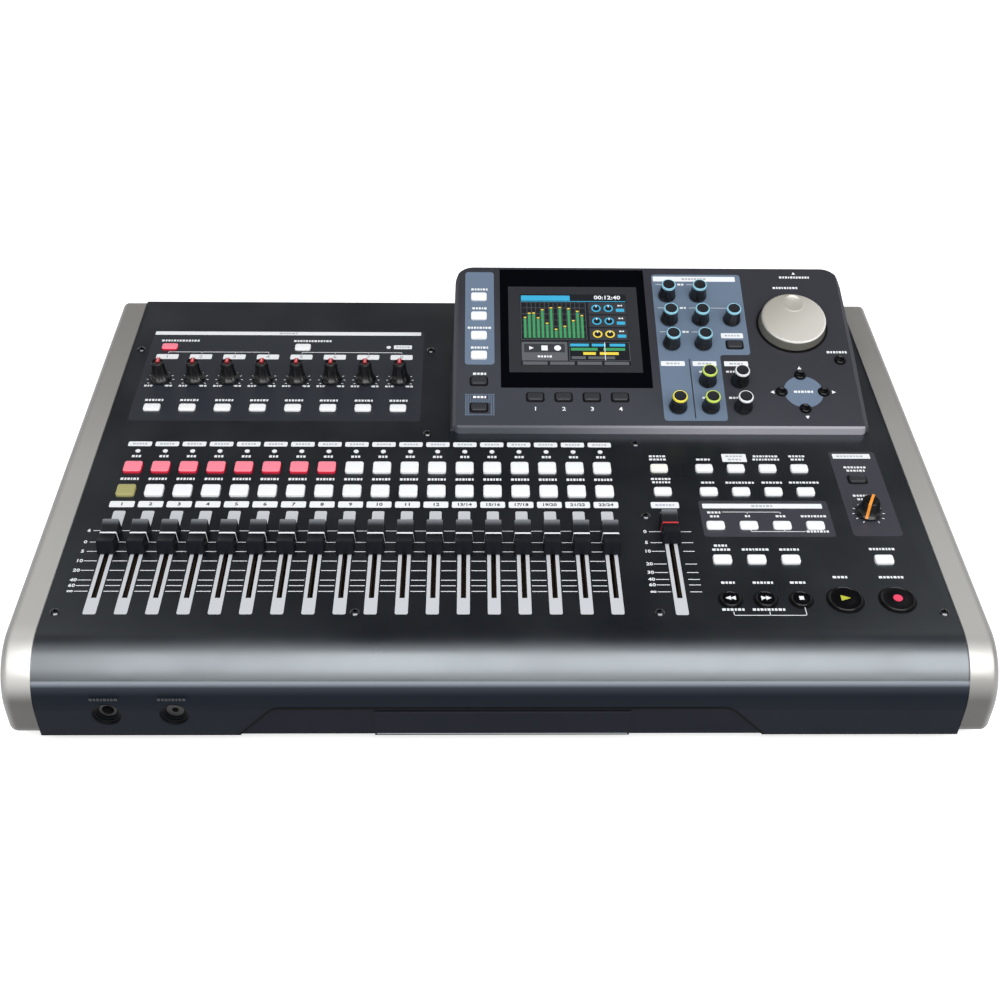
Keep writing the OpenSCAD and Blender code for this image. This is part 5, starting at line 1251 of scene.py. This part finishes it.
def ribbon(path, wide, mat, high=0.06):
    """A flat strip along an open path, which is shifted by half the width to both sides along its normals."""
    path = np.asarray(path, float)
    way = np.gradient(path, axis=0)
    side = np.stack([-way[:, 1], way[:, 0]], 1) / np.linalg.norm(way, axis=1, keepdims=True) * wide / 2
    return prism(np.concatenate([path - side, (path + side)[::-1]]), -0.4, high, mat)


SHADOW, PAINTED_HIGHLIGHT, FAINT, DEEP = range(4)
field_low, field_top, field_half, field_half_top, corner = 9.9, 30.4, 138.5, 119.5, 10.0
lean = math.atan2(field_top - field_low, field_half - field_half_top)
bend = np.linspace(0, lean, 9)
arc_x = field_half_top - corner * math.tan(lean / 2) + corner * np.sin(bend)
arc_h = field_top - corner * (1 - np.cos(bend))
right_path = np.stack([np.r_[0, arc_x, field_half], np.r_[field_top, arc_h, field_low]], 1)
edge_path = np.concatenate([right_path[::-1] * [-1, 1], right_path[1:]])
collar = [(7.5, -0.25), (7.2, -0.4), (6.9, -1.3), (6.1, -1.5), (6.0, -2.3), (5.2, -2.5), (5.1, -3.3),
          (4.2, -3.6), (4.2, -4.3), (7.78, -4.3), (7.78, -0.25)]
jack_x, jack_h = -inner_x + np.array([36.8, 71.7]), 25.7
front_marks = join(
    # A black strip along the sunk field's edge is painted shadow; a pale strip on the plate's lower edge is
    # painted highlight.
    ribbon(edge_path, 1.3, SHADOW),
    ink_boxes([(0, 10.7, 132.0, 0.6)], PAINTED_HIGHLIGHT), blanks([(x, 37.4, 14.4) for x in jack_x], FAINT, 1.9),
    copies(turned(collar, 48, DEEP, ring=True), row_of(jack_x, jack_h)))
add_piece("front_edges", on_front(front_marks), ["edge_shadow", "edge_painted_highlight", "edge_faint", "jack_gloss"])
print("front edge points", len(edge_path))

# %% [markdown]
# The panel screws have low domes that catch the lamps as a spark, and a black cross on top that is
# painted shade of the driver's recess. The moulded pod widens a little toward the panel, as a pulled
# moulding does; two slim wedges show that draft.

# %% Screw heads and pod draft
HEAD, RECESS = range(2)
side_screw_x, front_screw_y, rear_screw_y, left_inner_x, right_inner_x = 235.6, -131.0, 115.0, -43.9, 83.5
screw_spots = [(-side_screw_x, front_screw_y), (-side_screw_x, rear_screw_y), (-78.1, front_screw_y),
               (left_inner_x, 24.22), (left_inner_x, rear_screw_y), (right_inner_x, front_screw_y),
               (right_inner_x, -52.9), (right_inner_x, 14.62), (side_screw_x, front_screw_y)]
dome = turned([(1.5, -8.0), (1.5, -0.02), (2.75, -0.02), (2.7, 0.3), (2.35, 0.7), (1.7, 1.02), (0.9, 1.22),
               (0.2, 1.28)], 28, HEAD)
# The black cross is painted shade of the driver's recess.
cross = raised(1.24, ink_boxes([(0, 0, 0.7, 2.6), (0, 0, 2.6, 0.7)], RECESS))
add_piece("panel_screw_heads", moved(copies(join(dome, cross), screw_spots), z=panel_z),
          ["screw_black", "edge_shadow"], replaces=["panel_screws"])
pod_low, pod_high = node_box("display_pod")
flare_t = np.array([0.8, 20, 40, 60, 80, 100, 118])
flare_w = np.interp(flare_t, [0, 60, 100, 118], [2.3, 2.2, 1.1, 0.1])
foot_n = -(pod_face_z - panel_z + flare_t * math.sin(pod_tilt)) / math.cos(pod_tilt)
pod_side = pod_high[0]
flare = loft([np.array([(pod_side - 1.0, t, -1.0), (pod_side + 0.35 * w, t, -1.5), (pod_side + w, t, n),
                        (pod_side - 1.0, t, n)]) for t, w, n in zip(flare_t, flare_w, foot_n)])
left_flare = moved(mirrored(flare), pod_low[0] + pod_side)
add_piece("pod_draft", on_pod(join(flare, left_flare)), ["pod_side"])
print("screws", len(screw_spots), "pod draft", flare_w.max(), "mm")

# %% [markdown]
# The rear row is what an engineer plugs into: nickel nuts on the round jacks, plated collars on the pin
# jacks, shells round the control sockets, and contacts and two screws on each input socket. All but the
# screws are closed lathe rings.

# %% Rear socket metal
rear_y, socket_h = node_box("rear_panel")[1][1], 31.0
input_x, line_x = -220 + 27.5 * np.arange(8), 4 + 19.0 * np.arange(4)
pin_x, control_x = 84 + 15.0 * np.arange(3), np.array([138.0, 160.0])
NICKEL, CONTACT, SHELL = range(3)


def on_rear(shape):
    """From the rear plane (x as seen from behind, height, out) to the frame: x changes sign, out is y."""
    x, h, n = shape[0].T
    return np.stack([-x, rear_y + n, h], 1), shape[1]


def washers(xs, inner, outer, low, high, mat, around=40):
    """A flat ring with a small chamfer on its outer top edge, round the sockets at every x."""
    ring = [(outer, low), (outer, high - 0.2), (outer - 0.2, high), (inner, high), (inner, low)]
    return copies(turned(ring, around, mat, ring=True), row_of(-xs, socket_h))


def input_contacts(reach=7.0):
    """Three contact holes round the middle of each input socket, 120 degrees apart."""
    section = [(1.75, 1.4), (1.75, 1.45), (1.55, 1.65), (1.25, 1.65), (1.25, 1.4)]
    places = [(-x + reach * math.cos(a), socket_h + reach * math.sin(a)) for x in input_x
              for a in np.radians([90, 210, 330])]
    return copies(turned(section, 40, CONTACT, ring=True), places)


small_screw = turned([(1.5, 0.2), (1.5, 1.9), (1.1, 2.2), (0.3, 2.25)], 20, NICKEL)
rear_metal = join(
    washers(line_x, 3.3, 6.4, 1.9, 2.9, NICKEL, 6), washers(line_x, 3.3, 4.6, 2.8, 3.3, NICKEL),
    washers(pin_x, 2.2, 4.25, 5.7, 6.3, CONTACT), washers(pin_x, 4.2, 5.6, 0.0, 0.8, NICKEL),
    washers(control_x, 6.4, 7.3, 0.6, 1.7, NICKEL),
    washers(input_x, 3.3, 4.5, 1.4, 2.0, NICKEL), washers(input_x, 9.7, 10.4, 1.4, 1.75, SHELL),
    input_contacts(),
    copies(small_screw, [(-x + 9.6 * s, socket_h + 12.2 * s) for x in input_x for s in (-1, 1)]))
add_piece("rear_socket_metal", on_rear(rear_metal), ["socket_nickel", "socket_contact", "socket_black"])
print("rear rings on", len(input_x) + len(line_x) + len(pin_x) + len(control_x), "sockets")

# %% [markdown]
# Last comes what stands on the table: rubber feet with a rounded edge and a shallow dished sole.

# %% Feet
foot_r = 10
foot_low, foot_high = node_box("rubber_feet")
feet_x, feet_y = foot_high[0] - foot_r, np.array([foot_low[1] + foot_r, foot_high[1] - foot_r])
foot_shape = turned([(6.0, 0.5), (7.2, 0.35), (7.8, 0.0), (8.8, 0.0), (9.5, 0.3), (9.85, 1.0), (10.0, 2.0),
                     (9.7, 7.0), (9.7, 9.0)], 48)
foot_spots = [(x, y) for x in (-feet_x, feet_x) for y in feet_y]
add_piece("feet_moulded", copies(foot_shape, foot_spots), ["foot_rubber"],
          replaces=["rubber_feet"])
print("feet at", feet_x.round(1), feet_y.round(1))
